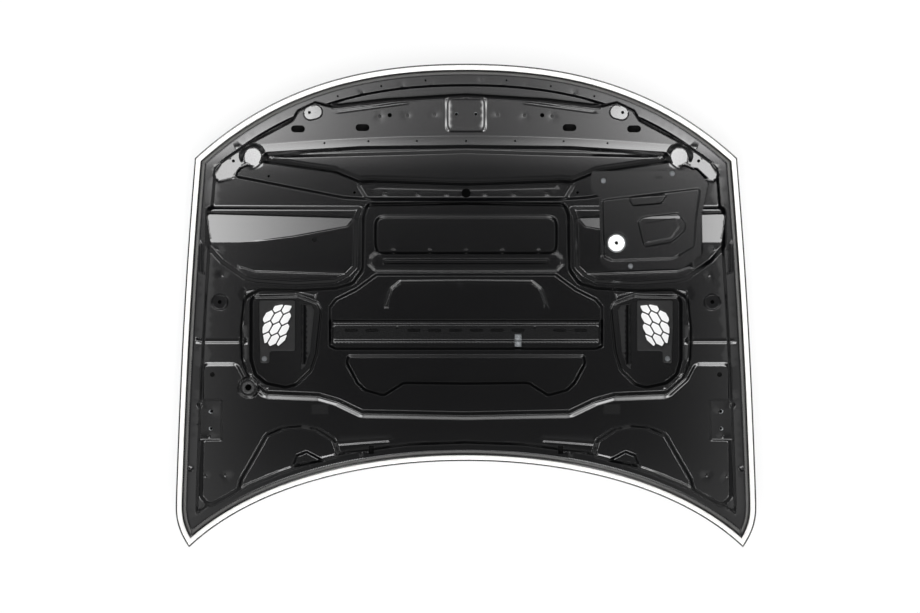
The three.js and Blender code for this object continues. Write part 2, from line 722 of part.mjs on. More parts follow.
const bonnet = new THREE.Group();
bonnet.name = 'car_bonnet';

function addPiece(name, geometry, material, parent = bonnet) {
  const mesh = new THREE.Mesh(geometry, material);
  mesh.name = name;
  parent.add(mesh);
  return mesh;
}

// Outer skin: crowned sheet with the two vent openings and a hem rolled round the panel's flange

function hemProfile() {
  const inner = SKIN_THICKNESS;
  const gap = PANEL_THICKNESS + 2 * SEAT_GAP;
  const radius = SKIN_THICKNESS + gap / 2;
  const bore = gap / 2;
  const slant = Math.SQRT1_2;
  return [
    [radius, inner],
    [radius - bore * slant, radius - bore * slant],
    [radius - bore, radius],
    [radius - bore * slant, radius + bore * slant],
    [radius, inner + gap],
    [HEM_RETURN, inner + gap],
    [HEM_RETURN, inner + gap + SKIN_THICKNESS],
    [radius, 2 * radius],
    [radius - radius * slant, radius + radius * slant],
    [0, radius],
    [radius - radius * slant, radius - radius * slant],
    [radius, 0],
  ];
}

function buildOuterSkin() {
  const ring = rimLoop(SKIN_RING_INSET);
  const plan = new PlanPoints(ring);
  const holes = [VENT_HOLE, mirrored(VENT_HOLE)];
  holes.forEach((hole) => plan.points.push(...hole));
  plan.points.push([0, CROWN_CENTRE_Y]);
  const bulgeEdge = divided(BULGE_PLAN, 60);
  plan.add(bulgeEdge, 20);
  plan.add(movedInside(BULGE_PLAN, bulgeEdge, BULGE_RAMP), 20);
  const inside = lattice(SKIN_LATTICE_SPACING).filter(([x, y]) => (
    depthInside(ring, x, y) > 20 && holes.every((hole) => depthInside(hole, x, y) < -10)
  ));
  plan.add(inside, 0.5 * SKIN_LATTICE_SPACING);
  const triangles = trimmed(plan.points, ring, holes);
  const lower = plan.points.map(([x, y]) => [x, y, skinHeight(x, y)]);
  const upper = lower.map(([x, y, z]) => [x, y, z + SKIN_THICKNESS]);
  const hem = hemProfile().map(([inset, lift]) => (
    rimLoop(inset).map(([x, y]) => [x, y, skinHeight(x, y) + lift])
  ));
  const chainOf = (index) => (index < ring.length ? hem.map((loop) => loop[index]) : []);
  return sheetGeometry(plan.points, triangles, upper, lower, chainOf);
}

addPiece('outer_skin', buildOuterSkin(), paint);

// Inner panel: one pressing with all its beams, pockets, wells and holes

// Flange and wall of the panel's rim, from the wall's top to the cut edge and back under the sheet
function panelRim() {
  const top = SKIN_THICKNESS + SEAT_GAP + PANEL_THICKNESS;
  const rise = (STRIP_LEVEL - top) / (WALL_TOP_INSET - WALL_FOOT_INSET);
  const bend = PANEL_THICKNESS * Math.tan(Math.atan(rise) / 2);
  const profile = [
    [WALL_FOOT_INSET, top],
    [PANEL_EDGE_INSET, top],
    [PANEL_EDGE_INSET, top - PANEL_THICKNESS],
    [WALL_FOOT_INSET + bend, top - PANEL_THICKNESS],
  ];
  const loopAt = ([inset, lift]) => rimLoop(inset).map(([x, y]) => [x, y, crown(x, y) + lift]);
  return {
    loops: profile.map(loopAt),
    lower: loopAt([WALL_TOP_INSET + bend, STRIP_LEVEL - PANEL_THICKNESS]),
  };
}

const BAR_MIDDLE = [0, (BAR_FRONT_Y + BAR_REAR_Y) / 2];
const BAR_SIZE = [2 * BAR_HALF_LENGTH, BAR_FRONT_Y - BAR_REAR_Y];

function buildInnerPanel() {
  const contours = [STRIP_INSET, FIELD_INSET].map((inset) => (
    rimLoop(inset).filter(([x, y]) => depthInside(RIM, x, y) > inset - 1)
  ));
  contours.push(divided(rectangle(BAR_MIDDLE, BAR_SIZE), CONTOUR_SPACING));
  FORMS.forEach((form, i) => {
    const foot = divided(form.outline, form.spacing ?? CONTOUR_SPACING);
    const top = movedInside(form.outline, foot, form.slope + SLOPE_MARGIN);
    const shown = [...foot, ...top].filter(([x, y]) => (
      x >= -CLOSEST_POINTS / 2
        && depthInside(RIM, x, y) > WALL_TOP_INSET + CLOSEST_POINTS
        && FORMS.slice(i + 1).every((later) => depthInside(later.outline, x, y) < later.slope)
    ));
    const across = shown.filter(([x]) => x > CLOSEST_POINTS / 2).map(([x, y]) => [-x, y]);
    contours.push(...(form.side ? [across] : [shown, across]));
  });
  return pressedSheet({
    outline: rimLoop(WALL_TOP_INSET),
    holes: PANEL_HOLES,
    height: panelHeight,
    thickness: PANEL_THICKNESS,
    contours,
    rim: panelRim(),
  });
}

addPiece('inner_panel', buildInnerPanel(), paint);

// Sealer bead: closed ring over the hem's raw edge, down to the panel's flange

function buildSealer() {
  const flangeTop = SKIN_THICKNESS + SEAT_GAP + PANEL_THICKNESS;
  const hemTop = flangeTop + SEAT_GAP + SKIN_THICKNESS;
  const edge = HEM_RETURN + SEAT_GAP;
  const profile = [
    [SEALER_START, hemTop + SEAT_GAP],
    [edge, hemTop + SEAT_GAP],
    [edge, flangeTop + SEAT_GAP],
    [SEALER_END, flangeTop + SEAT_GAP],
    [SEALER_END - 1, hemTop + SEAT_GAP + 0.6 * SEALER_HEIGHT],
    [HEM_RETURN, hemTop + SEAT_GAP + SEALER_HEIGHT],
    [SEALER_START + 2, hemTop + SEAT_GAP + SEALER_HEIGHT],
  ];
  const loops = profile.map(([inset, lift]) => (
    rimLoop(inset).map(([x, y]) => [x, y, skinHeight(x, y) + lift])
  ));
  const count = loops[0].length;
  const index = [];
  loops.forEach((loop, k) => {
    const here = k * count;
    const next = ((k + 1) % loops.length) * count;
    for (let i = 0; i < count; i += 1) {
      const j = (i + 1) % count;
      index.push(here + i, next + i, next + j, here + i, next + j, here + j);
    }
  });
  const geometry = new THREE.BufferGeometry();
  geometry.setAttribute('position', new THREE.Float32BufferAttribute(loops.flat(2), 3));
  geometry.setIndex(index);
  geometry.computeVertexNormals();
  return geometry;
}

addPiece('hem_sealer', buildSealer(), sealant);

// Latch doubler on the beam, with its hidden reinforcement below the panel

const latchHoles = [-LATCH_HOLE_X, LATCH_HOLE_X].map((x) => circle([x, LATCH_CENTRE[1]], 4.5, 8));

addPiece('latch_doubler', pressedSheet({
  outline: rounded(rectangle(LATCH_CENTRE, LATCH_SIZE), 14),
  holes: latchHoles,
  height: (x, y) => latchSeat(x, y) + SEAT_GAP + BAR_THICKNESS,
  thickness: BAR_THICKNESS,
}), coated);

addPiece('latch_reinforcement', pressedSheet({
  outline: rounded(rectangle(LATCH_CENTRE, LATCH_SIZE.map((size) => size - 4)), 10, 2),
  holes: latchHoles,
  height: (x, y) => latchSeat(x, y) - PANEL_THICKNESS - SEAT_GAP,
  thickness: REINFORCEMENT_THICKNESS,
}), zinc);

// Slotted bar: a ribbed strip across the middle of the panel, with a spring clip over its rear edge

const BAR_SECTION = [
  [BAR_REAR_Y, 0],
  [BAR_REAR_Y + 6, 0],
  [BAR_REAR_Y + 11, BAR_WEB_HEIGHT],
  [BAR_FRONT_Y - 17, BAR_WEB_HEIGHT],
  [BAR_FRONT_Y - 13, BAR_RIDGE_HEIGHT],
  [BAR_FRONT_Y - 7, BAR_RIDGE_HEIGHT],
  [BAR_FRONT_Y - 3, 0],
  [BAR_FRONT_Y, 0],
];

function barHeight(x, y) {
  const next = Math.max(1, BAR_SECTION.findIndex(([at]) => at >= y - 1e-6));
  const [fromY, from] = BAR_SECTION[next - 1];
  const [toY, to] = BAR_SECTION[next];
  const rise = from + (to - from) * clamp((y - fromY) / (toY - fromY));
  return crown(x, y) + BAR_FLOOR_LEVEL + 2.5 * SEAT_GAP + BAR_THICKNESS + rise;
}

const barSlots = [0.5, 1.5, 2.5, 4.5, 5.5].flatMap((place) => (
  [-1, 1].map((side) => divided(obround([side * place * BAR_SLOT_PITCH, BAR_SLOT_Y], BAR_SLOT, 0, 2), 10))
));

const barLines = BAR_SECTION.map(([y]) => (
  Array.from({ length: 15 }, (_, i) => [(i / 7 - 1) * BAR_HALF_LENGTH, y])
));
const barOutline = [
  ...barLines[0],
  ...barLines.slice(1, -1).map((line) => line.at(-1)),
  ...barLines.at(-1).reverse(),
  ...barLines.slice(1, -1).map((line) => line[0]).reverse(),
];

addPiece('slotted_bar', pressedSheet({
  outline: barOutline,
  holes: barSlots,
  height: barHeight,
  thickness: BAR_THICKNESS,
  contours: barLines.slice(1, -1).map((line) => line.slice(1, -1)),
  closest: 3,
}), coated);

// A flat strip folded over the bar's rear edge, drawn as its side view and given its width
function buildClip() {
  const [x, y] = [2.5 * BAR_SLOT_PITCH, BAR_REAR_Y];
  const base = crown(x, y) + BAR_FLOOR_LEVEL + 3.5 * SEAT_GAP + BAR_THICKNESS;
  const web = base + BAR_WEB_HEIGHT;
  const side = [
    [26, web], [10.5, web], [4.5, base + 0.5], [-8, base + 0.5], [-8, base + CLIP_THICKNESS + 0.5],
    [3.9, base + CLIP_THICKNESS + 0.5], [9.9, web + CLIP_THICKNESS], [22, web + CLIP_THICKNESS],
    [26, web + 5],
  ];
  const shape = new THREE.Shape(side.map(([along, z]) => new THREE.Vector2(y + along, z)));
  const geometry = new THREE.ExtrudeGeometry(shape, { depth: CLIP_WIDTH, bevelEnabled: false });
  const axes = new THREE.Matrix4().makeBasis(
    new THREE.Vector3(0, 1, 0),
    new THREE.Vector3(0, 0, 1),
    new THREE.Vector3(1, 0, 0),
  );
  geometry.applyMatrix4(axes);
  geometry.translate(x - CLIP_WIDTH / 2, 0, 0);
  return geometry;
}

addPiece('spring_clip', buildClip(), zinc);

// Bracket plate over the right pocket: flanges on the arm and on the pocket's floor, a raised body
// between them with two dishes, and the stand-off on it

const BRACKET_OUTLINE = [
  [326, 348], [326, 300], [346, 282], [352, 112], [377, 91], [566, 95], [612, 132], [612, 234], [629, 315],
  [599, 350],
];
const BRACKET_BODY = [[354, 276], [358, 124], [382, 113], [540, 118], [596, 150], [602, 232], [612, 306]];
const UPPER_DISH = [[420, 282], [433, 256], [509, 262], [530, 290]];
const DISH = [[446, 217], [459, 231], [552, 242], [575, 211], [572, 191], [536, 161], [463, 148]];
const LOWER_FLANGE_Y = 128;
const bracketFlat = crownSeat(STANDOFF_CENTRE, BRACKET_LEVEL);
const BRACKET_FORMS = [
  { outline: rounded(BRACKET_BODY, 12, 2), slope: 6, height: overCrown(BRACKET_LEVEL) },
  { outline: rounded(UPPER_DISH, 10, 2), slope: 5, height: overCrown(BRACKET_LEVEL - BRACKET_DISH_DEPTH) },
  { outline: rounded(DISH, 12, 2), slope: 5, height: overCrown(BRACKET_LEVEL - BRACKET_DISH_DEPTH) },
  { outline: circle(STANDOFF_CENTRE, STANDOFF_RADIUS + 6), slope: 4, height: bracketFlat },
];

function bracketHeight(x, y) {
  const lift = SEAT_GAP + BRACKET_THICKNESS;
  const seat = crown(x, y) + (y > LOWER_FLANGE_Y ? ARM_LEVEL : POCKET_LEVEL) + 1.5 * lift;
  return BRACKET_FORMS.reduce((height, form) => {
    const blend = clamp(depthInside(form.outline, x, y) / form.slope);
    return height + (form.height(x, y) - height) * blend;
  }, seat);
}

addPiece('bracket_plate', pressedSheet({
  outline: divided(rounded(BRACKET_OUTLINE, 10, 2), 40),
  holes: [
    ...BRACKET_SCREWS.map((centre) => circle(centre, SCREW_HOLE_RADIUS, 8)),
    obround(BRACKET_SLOT_CENTRE, BRACKET_SLOT),
  ],
  height: bracketHeight,
  thickness: BRACKET_THICKNESS,
  contours: BRACKET_FORMS.flatMap(({ outline, slope }) => {
    const foot = divided(outline, 30);
    return [foot, movedInside(outline, foot, slope)];
  }),
  fill: 60,
  closest: 4,
}), coated);

// A turned part stood on a seat, its axis square to the crown there
function turned(profile, [x, y], z, sides = 8) {
  const points = profile.map(([radius, height]) => new THREE.Vector2(radius, height));
  const geometry = new THREE.LatheGeometry(points, sides);
  geometry.rotateX(Math.PI / 2);
  const step = 1;
  const normal = new THREE.Vector3(
    crown(x - step, y) - crown(x + step, y),
    crown(x, y - step) - crown(x, y + step),
    2 * step,
  ).normalize();
  const mesh = new THREE.Mesh(geometry);
  mesh.position.set(x, y, z);
  mesh.quaternion.setFromUnitVectors(new THREE.Vector3(0, 0, 1), normal);
  return mesh;
}

function addTurned(name, mesh, material) {
  mesh.name = name;
  mesh.material = material;
  bonnet.add(mesh);
}

const STANDOFF_PROFILE = [
  [STANDOFF_BORE, 0],
  [STANDOFF_RADIUS, 0],
  [STANDOFF_RADIUS, STANDOFF_HEIGHT / 2],
  [STANDOFF_TOP_RADIUS, STANDOFF_HEIGHT],
  [STANDOFF_BORE, STANDOFF_HEIGHT],
  [STANDOFF_BORE, 0],
];
const standoffBase = bracketFlat(...STANDOFF_CENTRE) + SEAT_GAP;
addTurned('bracket_standoff', turned(STANDOFF_PROFILE, STANDOFF_CENTRE, standoffBase, 16), zinc);

const SCREW_PROFILE = [
  [0, -SCREW_SHANK_LENGTH],
  [SCREW_SHANK_RADIUS, -SCREW_SHANK_LENGTH],
  [SCREW_SHANK_RADIUS, 0],
  [SCREW_HEAD_RADIUS, 0],
  [SCREW_HEAD_RADIUS, SCREW_HEAD_HEIGHT * 0.6],
  [SCREW_HEAD_RADIUS * 0.7, SCREW_HEAD_HEIGHT],
  [0, SCREW_HEAD_HEIGHT],
];

BRACKET_SCREWS.forEach((centre, i) => {
  const screw = turned(SCREW_PROFILE, centre, bracketHeight(...centre) + 1.5 * SEAT_GAP);
  addTurned(`bracket_screw_${i + 1}`, screw, zinc);
});

// Vent grilles: a flat moulding over the vent opening with three columns of leaf-shaped cells

const GRILLE_OUTLINE = rounded([
  [VENT_CORNERS.outer + GRILLE_MARGIN, VENT_CORNERS.front + GRILLE_MARGIN],
  [VENT_CORNERS.inner - GRILLE_MARGIN, VENT_CORNERS.front + GRILLE_MARGIN],
  [VENT_CORNERS.inner - GRILLE_MARGIN, VENT_CORNERS.rear - GRILLE_MARGIN],
  [VENT_SCREW[0] - 14, VENT_CORNERS.rear - GRILLE_MARGIN],
  [VENT_SCREW[0] - 14, VENT_SCREW[1] - 12],
  [VENT_SCREW[0] + 12, VENT_SCREW[1] - 12],
  [VENT_SCREW[0] + 12, VENT_CORNERS.rear - GRILLE_MARGIN],
  [VENT_CORNERS.outer + GRILLE_MARGIN, -60],
], 8, 2);

// Window that the grille's cells fill, over the vent in the sheets below
const CELL_WINDOW = [
  [VENT_CORNERS.outer - 8, VENT_CORNERS.front - 28],
  [VENT_CORNERS.outer - 29, VENT_CORNERS.front - 12],
  [VENT_CORNERS.inner + 31, VENT_CORNERS.front - 7],
  [VENT_CORNERS.inner + 5, VENT_CORNERS.front - 10],
  [VENT_CORNERS.inner + 8, VENT_CORNERS.front - 51],
  [VENT_CORNERS.inner + 15, VENT_CORNERS.front - 82],
  [VENT_CORNERS.inner + 22, VENT_CORNERS.rear + 22],
  [VENT_CORNERS.inner + 40, VENT_CORNERS.rear + 6],
  [VENT_CORNERS.outer - 25, VENT_CORNERS.rear + 5],
  [VENT_CORNERS.outer - 10, VENT_CORNERS.rear + 10],
  [VENT_CORNERS.outer - 4, VENT_CORNERS.rear + 44],
  [VENT_CORNERS.outer - 5, VENT_CORNERS.rear + 74],
];

// The part of a polygon that lies left of a line, moved in by a distance
function clipped(polygon, [ax, ay], [bx, by], inset) {
  const length = Math.hypot(bx - ax, by - ay);
  const side = ([x, y]) => ((bx - ax) * (y - ay) - (by - ay) * (x - ax)) / length - inset;
  return polygon.flatMap((here, i) => {
    const next = polygon[(i + 1) % polygon.length];
    const [from, to] = [side(here), side(next)];
    const kept = from > 0 ? [here] : [];
    if ((from > 0) !== (to > 0)) {
      const t = from / (from - to);
      kept.push([here[0] + (next[0] - here[0]) * t, here[1] + (next[1] - here[1]) * t]);
    }
    return kept;
  });
}

const vectors = (points) => points.map(([x, y]) => new THREE.Vector2(x, y));

// Slanted six-sided cells: each side lies halfway to a neighbour, less half a bar
function grilleCells() {
  const steps = (columns, rows) => (
    CELL_COLUMN_STEP.map((step, i) => columns * step + rows * CELL_ROW_STEP[i])
  );
  const half = [steps(1 / 3, 1 / 3), steps(-1 / 3, 2 / 3), steps(-2 / 3, 1 / 3)];
  const corners = [...half, ...half.map(([x, y]) => [-x, -y])];
  const cells = [];
  for (let column = -CELL_REACH; column <= CELL_REACH; column += 1) {
    for (let row = -CELL_REACH; row <= CELL_REACH; row += 1) {
      const centre = moved(GRILLE_CENTRE, steps(column, row));
      const cell = corners.reduce((polygon, corner, i) => (
        clipped(polygon, moved(centre, corner), moved(centre, corners[(i + 1) % 6]), CELL_BAR / 2)
      ), CELL_WINDOW);
      if (Math.abs(THREE.ShapeUtils.area(vectors(cell))) > CELL_LEAST_AREA) {
        cells.push(cell.filter(([x, y], i) => (
          Math.hypot(x - cell.at(i - 1)[0], y - cell.at(i - 1)[1]) > CELL_LEAST_SIDE
        )));
      }
    }
  }
  return cells;
}

// A flat moulding: both faces share the triangles between its outline and its holes
function flatMoulding({ outline, holes, height, under }) {
  const plan = [outline, ...holes].flat();
  const points = vectors(plan);
  const faces = THREE.ShapeUtils.triangulateShape(vectors(outline), holes.map(vectors));
  const triangles = faces.map(([a, b, c]) => (
    THREE.ShapeUtils.area([points[a], points[b], points[c]]) > 0 ? [a, b, c] : [a, c, b]
  ));
  const upper = plan.map(([x, y]) => [x, y, height(x, y)]);
  const lower = plan.map(([x, y]) => [x, y, under(x, y)]);
  return sheetGeometry(plan, triangles, upper, lower, () => []);
}

const BAFFLE_OUTLINE = [[431, 6], [404, 0], [396, -14], [406, -120], [418, -158], [431, -170]];
const RIB_OUTLINE = [[429, 2], [422, 2], [422, -156], [429, -156]];

const baffleHeight = (x, y) => {
  const rib = clamp(depthInside(RIB_OUTLINE, x, y) / 2);
  return wellSeat(x, y) + SEAT_GAP + BAFFLE_THICKNESS + BAFFLE_RIB_HEIGHT * rib;
};

for (const [side, label] of [[-1, 'left'], [1, 'right']]) {
  const place = (outline) => (side < 0 ? mirrored(outline) : outline);
  const onSide = (height) => (x, y) => height(Math.abs(x), y);
  addPiece(`vent_grille_${label}`, flatMoulding({
    outline: place(GRILLE_OUTLINE),
    holes: [...grilleCells(), circle(VENT_SCREW, SCREW_HOLE_RADIUS, 8)].map(place),
    height: onSide((x, y) => wellSeat(x, y) + SEAT_GAP + GRILLE_THICKNESS),
    under: onSide((x, y) => wellSeat(x, y) + SEAT_GAP),
  }), plastic);
  addPiece(`vent_baffle_${label}`, pressedSheet({
    outline: place(divided(BAFFLE_OUTLINE, 50)),
    height: onSide(baffleHeight),
    under: onSide((x, y) => wellSeat(x, y) + SEAT_GAP),
    contours: [place(divided(RIB_OUTLINE, 40)), movedInside(place(RIB_OUTLINE), place(divided(RIB_OUTLINE, 40)), 2)],
    closest: 1.5,
  }), plastic);
  const screwSeat = wellSeat(...VENT_SCREW) + 2 * SEAT_GAP + GRILLE_THICKNESS;
  const screw = turned(SCREW_PROFILE, [side * VENT_SCREW[0], VENT_SCREW[1]], screwSeat);
  addTurned(`vent_screw_${label}`, screw, zinc);
}

// Grommet for the washer hose, in the corner of the left frame

const grommetTop = PANEL_THICKNESS + SEAT_GAP;
const GROMMET_PROFILE = [
  [GROMMET_BORE, -grommetTop - GROMMET_FLANGE],
  [GROMMET_FLANGE_RADIUS - 2, -grommetTop - GROMMET_FLANGE],
  [GROMMET_FLANGE_RADIUS - 2, -grommetTop],
  [GROMMET_HOLE_RADIUS - 1, -grommetTop],
  [GROMMET_HOLE_RADIUS - 1, SEAT_GAP],
  [GROMMET_FLANGE_RADIUS, SEAT_GAP],
  [GROMMET_FLANGE_RADIUS - 1, SEAT_GAP + GROMMET_FLANGE],
  [GROMMET_BORE, SEAT_GAP + GROMMET_FLANGE],
  [GROMMET_BORE, -grommetTop - GROMMET_FLANGE],
];
const grommetPlace = [-GROMMET_CENTRE[0], GROMMET_CENTRE[1]];
const grommetBase = grommetSeat(...GROMMET_CENTRE);
addTurned('hose_grommet', turned(GROMMET_PROFILE, grommetPlace, grommetBase, 14), rubber);

// Hinge reinforcements below the hinge seats, with a nut behind each bolt hole, and the plates
// that show through the rear slots

const hingeBolts = [-1, 1].map((end) => [HINGE_CENTRE[0], HINGE_CENTRE[1] + (end * HINGE_HOLE_PITCH) / 2]);
const NUT_PROFILE = [[NUT_BORE, 0], [NUT_RADIUS, 0], [NUT_RADIUS, NUT_HEIGHT], [NUT_BORE, NUT_HEIGHT], [NUT_BORE, 0]];
const REAR_SLOT = [381, -272];

for (const [side, label] of [[-1, 'left'], [1, 'right']]) {
  const place = (outline) => (side < 0 ? mirrored(outline) : outline);
  const below = PANEL_THICKNESS + SEAT_GAP;
  addPiece(`hinge_reinforcement_${label}`, pressedSheet({
    outline: place(rounded(rectangle(HINGE_CENTRE, HINGE_SEAT.map((size) => size - 2 * REINFORCEMENT_MARGIN)), 6, 2)),
    holes: hingeBolts.map((centre) => place(circle(centre, 5, 8))),
    height: (x, y) => hingeSeat(Math.abs(x), y) - below,
    thickness: REINFORCEMENT_THICKNESS,
  }), zinc);
  hingeBolts.forEach(([x, y], i) => {
    const top = hingeSeat(x, y) - below - REINFORCEMENT_THICKNESS - SEAT_GAP;
    const nut = turned(NUT_PROFILE, [side * x, y], top - NUT_HEIGHT - SEAT_GAP / 2, 6);
    addTurned(`hinge_nut_${label}_${i + 1}`, nut, zinc);
  });
  addPiece(`rear_plate_${label}`, pressedSheet({
    outline: place(rectangle(REAR_SLOT, [66, 46])),
    height: (x, y) => crown(x, y) + REAR_FIELD_LEVEL - PANEL_THICKNESS - 2 * SEAT_GAP,
    thickness: REINFORCEMENT_THICKNESS,
    fill: 30,
  }), zinc);
}

// Mastic pads that keep the skin from drumming against the panel

const MASTIC_PLACES = { front: [140, 354], middle: [125, 186], pocket: [480, 100], rear: [210, -180] };

function buildMastic(centre) {
  const rings = [circle(centre, MASTIC_RADIUS, 12), circle(centre, MASTIC_RADIUS / 2, 6), [centre]];
  const plan = rings.flat();
  const triangles = triangulate(plan);
  const gap = MASTIC_CLEARANCE;
  const upper = plan.map(([x, y]) => [x, y, panelHeight(x, y) - PANEL_THICKNESS - gap]);
  const lower = plan.map(([x, y]) => [x, y, skinHeight(x, y) + SKIN_THICKNESS + gap]);
  return sheetGeometry(plan, triangles, upper, lower, () => []);
}

Object.entries(MASTIC_PLACES).forEach(([place, [x, y]]) => {
  addPiece(`mastic_${place}_left`, buildMastic([-x, y]), mastic);
  addPiece(`mastic_${place}_right`, buildMastic([x, y]), mastic);
});

export default bonnet;
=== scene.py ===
"""Underside of a car bonnet, lying on its painted skin on a white studio floor."""

import math

import bpy
import numpy as np
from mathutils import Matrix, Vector
from mathutils.geometry import delaunay_2d_cdt


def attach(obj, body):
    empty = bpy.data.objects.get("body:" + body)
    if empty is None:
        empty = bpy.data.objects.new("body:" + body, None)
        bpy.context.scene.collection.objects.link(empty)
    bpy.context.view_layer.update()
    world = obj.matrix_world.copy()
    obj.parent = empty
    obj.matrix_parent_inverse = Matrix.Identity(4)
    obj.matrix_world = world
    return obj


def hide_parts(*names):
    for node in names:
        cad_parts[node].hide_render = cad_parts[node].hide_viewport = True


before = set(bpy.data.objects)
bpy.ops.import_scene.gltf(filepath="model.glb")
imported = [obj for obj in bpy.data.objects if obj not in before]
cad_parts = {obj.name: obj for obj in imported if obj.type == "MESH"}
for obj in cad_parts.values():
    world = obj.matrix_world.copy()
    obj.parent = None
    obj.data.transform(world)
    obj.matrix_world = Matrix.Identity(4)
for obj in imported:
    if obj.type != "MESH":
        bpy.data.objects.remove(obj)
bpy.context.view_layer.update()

# Outer skin
# The painted outer panel of the car: 1 mm aluminium sheet, deep drawn to a shallow crown with a
# power bulge in the middle. Its edge is rolled over the inner panel's flange as a hem.
MM = 0.001
APEX_Y, REAR_Y = 627, -408
CORNER, WIDEST, TIP = (705, 382), (752, -505), (716, -627)
CROWN_RADIUS_X, CROWN_RADIUS_Y, CROWN_CENTRE_Y = 4800, 3600, 30
NOSE_START_Y, NOSE_DROP = 350, 26
BULGE_DEPTH, BULGE_FLATTENING, BULGE_RAMP = 9, 0.9, 45
SHEET = 1.0
SEAT_GAP = 0.3
HEM_RETURN = 12
PANEL_EDGE_INSET = 3.5
VENT_FRONT, VENT_REAR, VENT_INNER, VENT_OUTER = 8, -114, 451, 535


def bezier(points, count=400):
    t = np.linspace(0, 1, count)[:, None]
    a, b, c, d = (np.array(p, float) for p in points)
    return (1 - t) ** 3 * a + 3 * (1 - t) ** 2 * t * b + 3 * (1 - t) * t * t * c + t**3 * d


def flipped(outline):
    """The same outline on the other half, still running the same way round"""
    return (np.asarray(outline, float) * (-1, 1))[::-1]


front_half = bezier([CORNER, (CORNER[0] - 209, CORNER[1] + 192), (261, APEX_Y), (0, APEX_Y)])
rear_half = bezier([(0, REAR_Y), (250, REAR_Y), (TIP[0] - 170, TIP[1] + 162), TIP])
side_end = bezier([TIP, (TIP[0] + 38, TIP[1] + 54), (WIDEST[0], WIDEST[1] - 32), WIDEST])
side = bezier([WIDEST, (WIDEST[0] - 6, WIDEST[1] + 308), (CORNER[0] + 29, CORNER[1] - 313), CORNER])
stretches = [
    np.vstack([front_half, flipped(front_half)[1:]]),
    np.vstack([flipped(side), flipped(side_end)[1:]]),
    np.vstack([flipped(rear_half), rear_half[1:]]),
    np.vstack([side_end, side[1:]]),
]
half_turns = []
for before, after in zip(stretches[-1:] + stretches[:-1], stretches):
    u, v = before[-1] - before[-2], after[1] - after[0]
    cosine = u @ v / np.linalg.norm(u) / np.linalg.norm(v)
    half_turns.append(math.acos(min(1, max(-1, cosine))) / 2)


def rim_loop(inset, spacing):
    """The bonnet's outline moved inward, with its points in step for every inset"""
    loop = []
    for i, path in enumerate(stretches):
        lengths = np.concatenate([[0], np.cumsum(np.linalg.norm(np.diff(path, axis=0), axis=1))])
        start = inset * math.tan(half_turns[i])
        end = lengths[-1] - inset * math.tan(half_turns[(i + 1) % 4])
        count = 2 * round(lengths[-1] / spacing / 2)
        at = start + (end - start) * np.arange(count) / count
        point = np.column_stack([np.interp(at, lengths, path[:, k]) for k in (0, 1)])
        ahead = np.column_stack([np.interp(at + 1, lengths, path[:, k]) for k in (0, 1)])
        behind = np.column_stack([np.interp(at - 1, lengths, path[:, k]) for k in (0, 1)])
        along = (ahead - behind) / np.linalg.norm(ahead - behind, axis=1)[:, None]
        loop.append(point + inset * np.column_stack([-along[:, 1], along[:, 0]]))
    return np.vstack(loop)


def rounded(corners, radius, steps=9):
    """A polygon with each corner turned into an arc that its sides leave room for"""
    corners = np.asarray(corners, float)
    outline = []
    for i, here in enumerate(corners):
        back, ahead = corners[i - 1] - here, corners[(i + 1) % len(corners)] - here
        lengths = np.linalg.norm(back), np.linalg.norm(ahead)
        half_angle = math.acos(max(-1, min(1, back @ ahead / lengths[0] / lengths[1]))) / 2
        reach = min(radius / math.tan(half_angle), 0.45 * min(lengths))
        start, end = here + back / lengths[0] * reach, here + ahead / lengths[1] * reach
        for t in np.linspace(0, 1, steps + 1):
            outline.append((1 - t) ** 2 * start + 2 * t * (1 - t) * here + t * t * end)
    return np.array(outline)


def depth_inside(outline, points):
    """Distance of points to a closed outline, positive inside it"""
    x, y = points[:, 0], points[:, 1]
    nearest = np.full(len(points), 1e9)
    inside = np.zeros(len(points), bool)
    for (ax, ay), (bx, by) in zip(outline, np.roll(outline, -1, axis=0)):
        dx, dy = bx - ax, by - ay
        along = np.clip(((x - ax) * dx + (y - ay) * dy) / max(1e-9, dx * dx + dy * dy), 0, 1)
        nearest = np.minimum(nearest, (x - ax - along * dx) ** 2 + (y - ay - along * dy) ** 2)
        if ay != by:
            inside ^= ((ay > y) != (by > y)) & (x < (bx - ax) * (y - ay) / (by - ay) + ax)
    return np.where(inside, 1, -1) * np.sqrt(nearest)


def crown(x, y):
    nose = np.maximum(0, (y - NOSE_START_Y) / (APEX_Y - NOSE_START_Y))
    length = (y - CROWN_CENTRE_Y) ** 2 / (2 * CROWN_RADIUS_Y)
    return BULGE_DEPTH + x**2 / (2 * CROWN_RADIUS_X) + length + NOSE_DROP * nose**2


def eased(t, bend=0.3):
    """A pressed wall from 0 to 1: straight in the middle and bent to a radius at both ends"""
    t = np.clip(t, 0, 1)
    scale = 1 / (bend * (1 - bend))
    foot = scale * t**2 / 2
    top = 1 - scale * (1 - t) ** 2 / 2
    return np.where(t < bend, foot, np.where(t > 1 - bend, top, (t - bend / 2) / (1 - bend)))


bulge_plan = rounded([(-250, 480), (-330, -300), (330, -300), (250, 480)], 90)


def skin_height(points):
    x, y = points.T
    blend = np.clip(depth_inside(bulge_plan, points) / BULGE_RAMP, 0, 1)
    return crown(x, y) - blend * (BULGE_DEPTH + BULGE_FLATTENING * x**2 / (2 * CROWN_RADIUS_X))


def divided(outline, spacing):
    """Points along a closed outline, its corners kept"""
    points = []
    for a, b in zip(outline, np.roll(outline, -1, axis=0)):
        steps = max(1, round(np.linalg.norm(b - a) / spacing))
        points += [a + (b - a) * k / steps for k in range(steps)]
    return np.array(points)


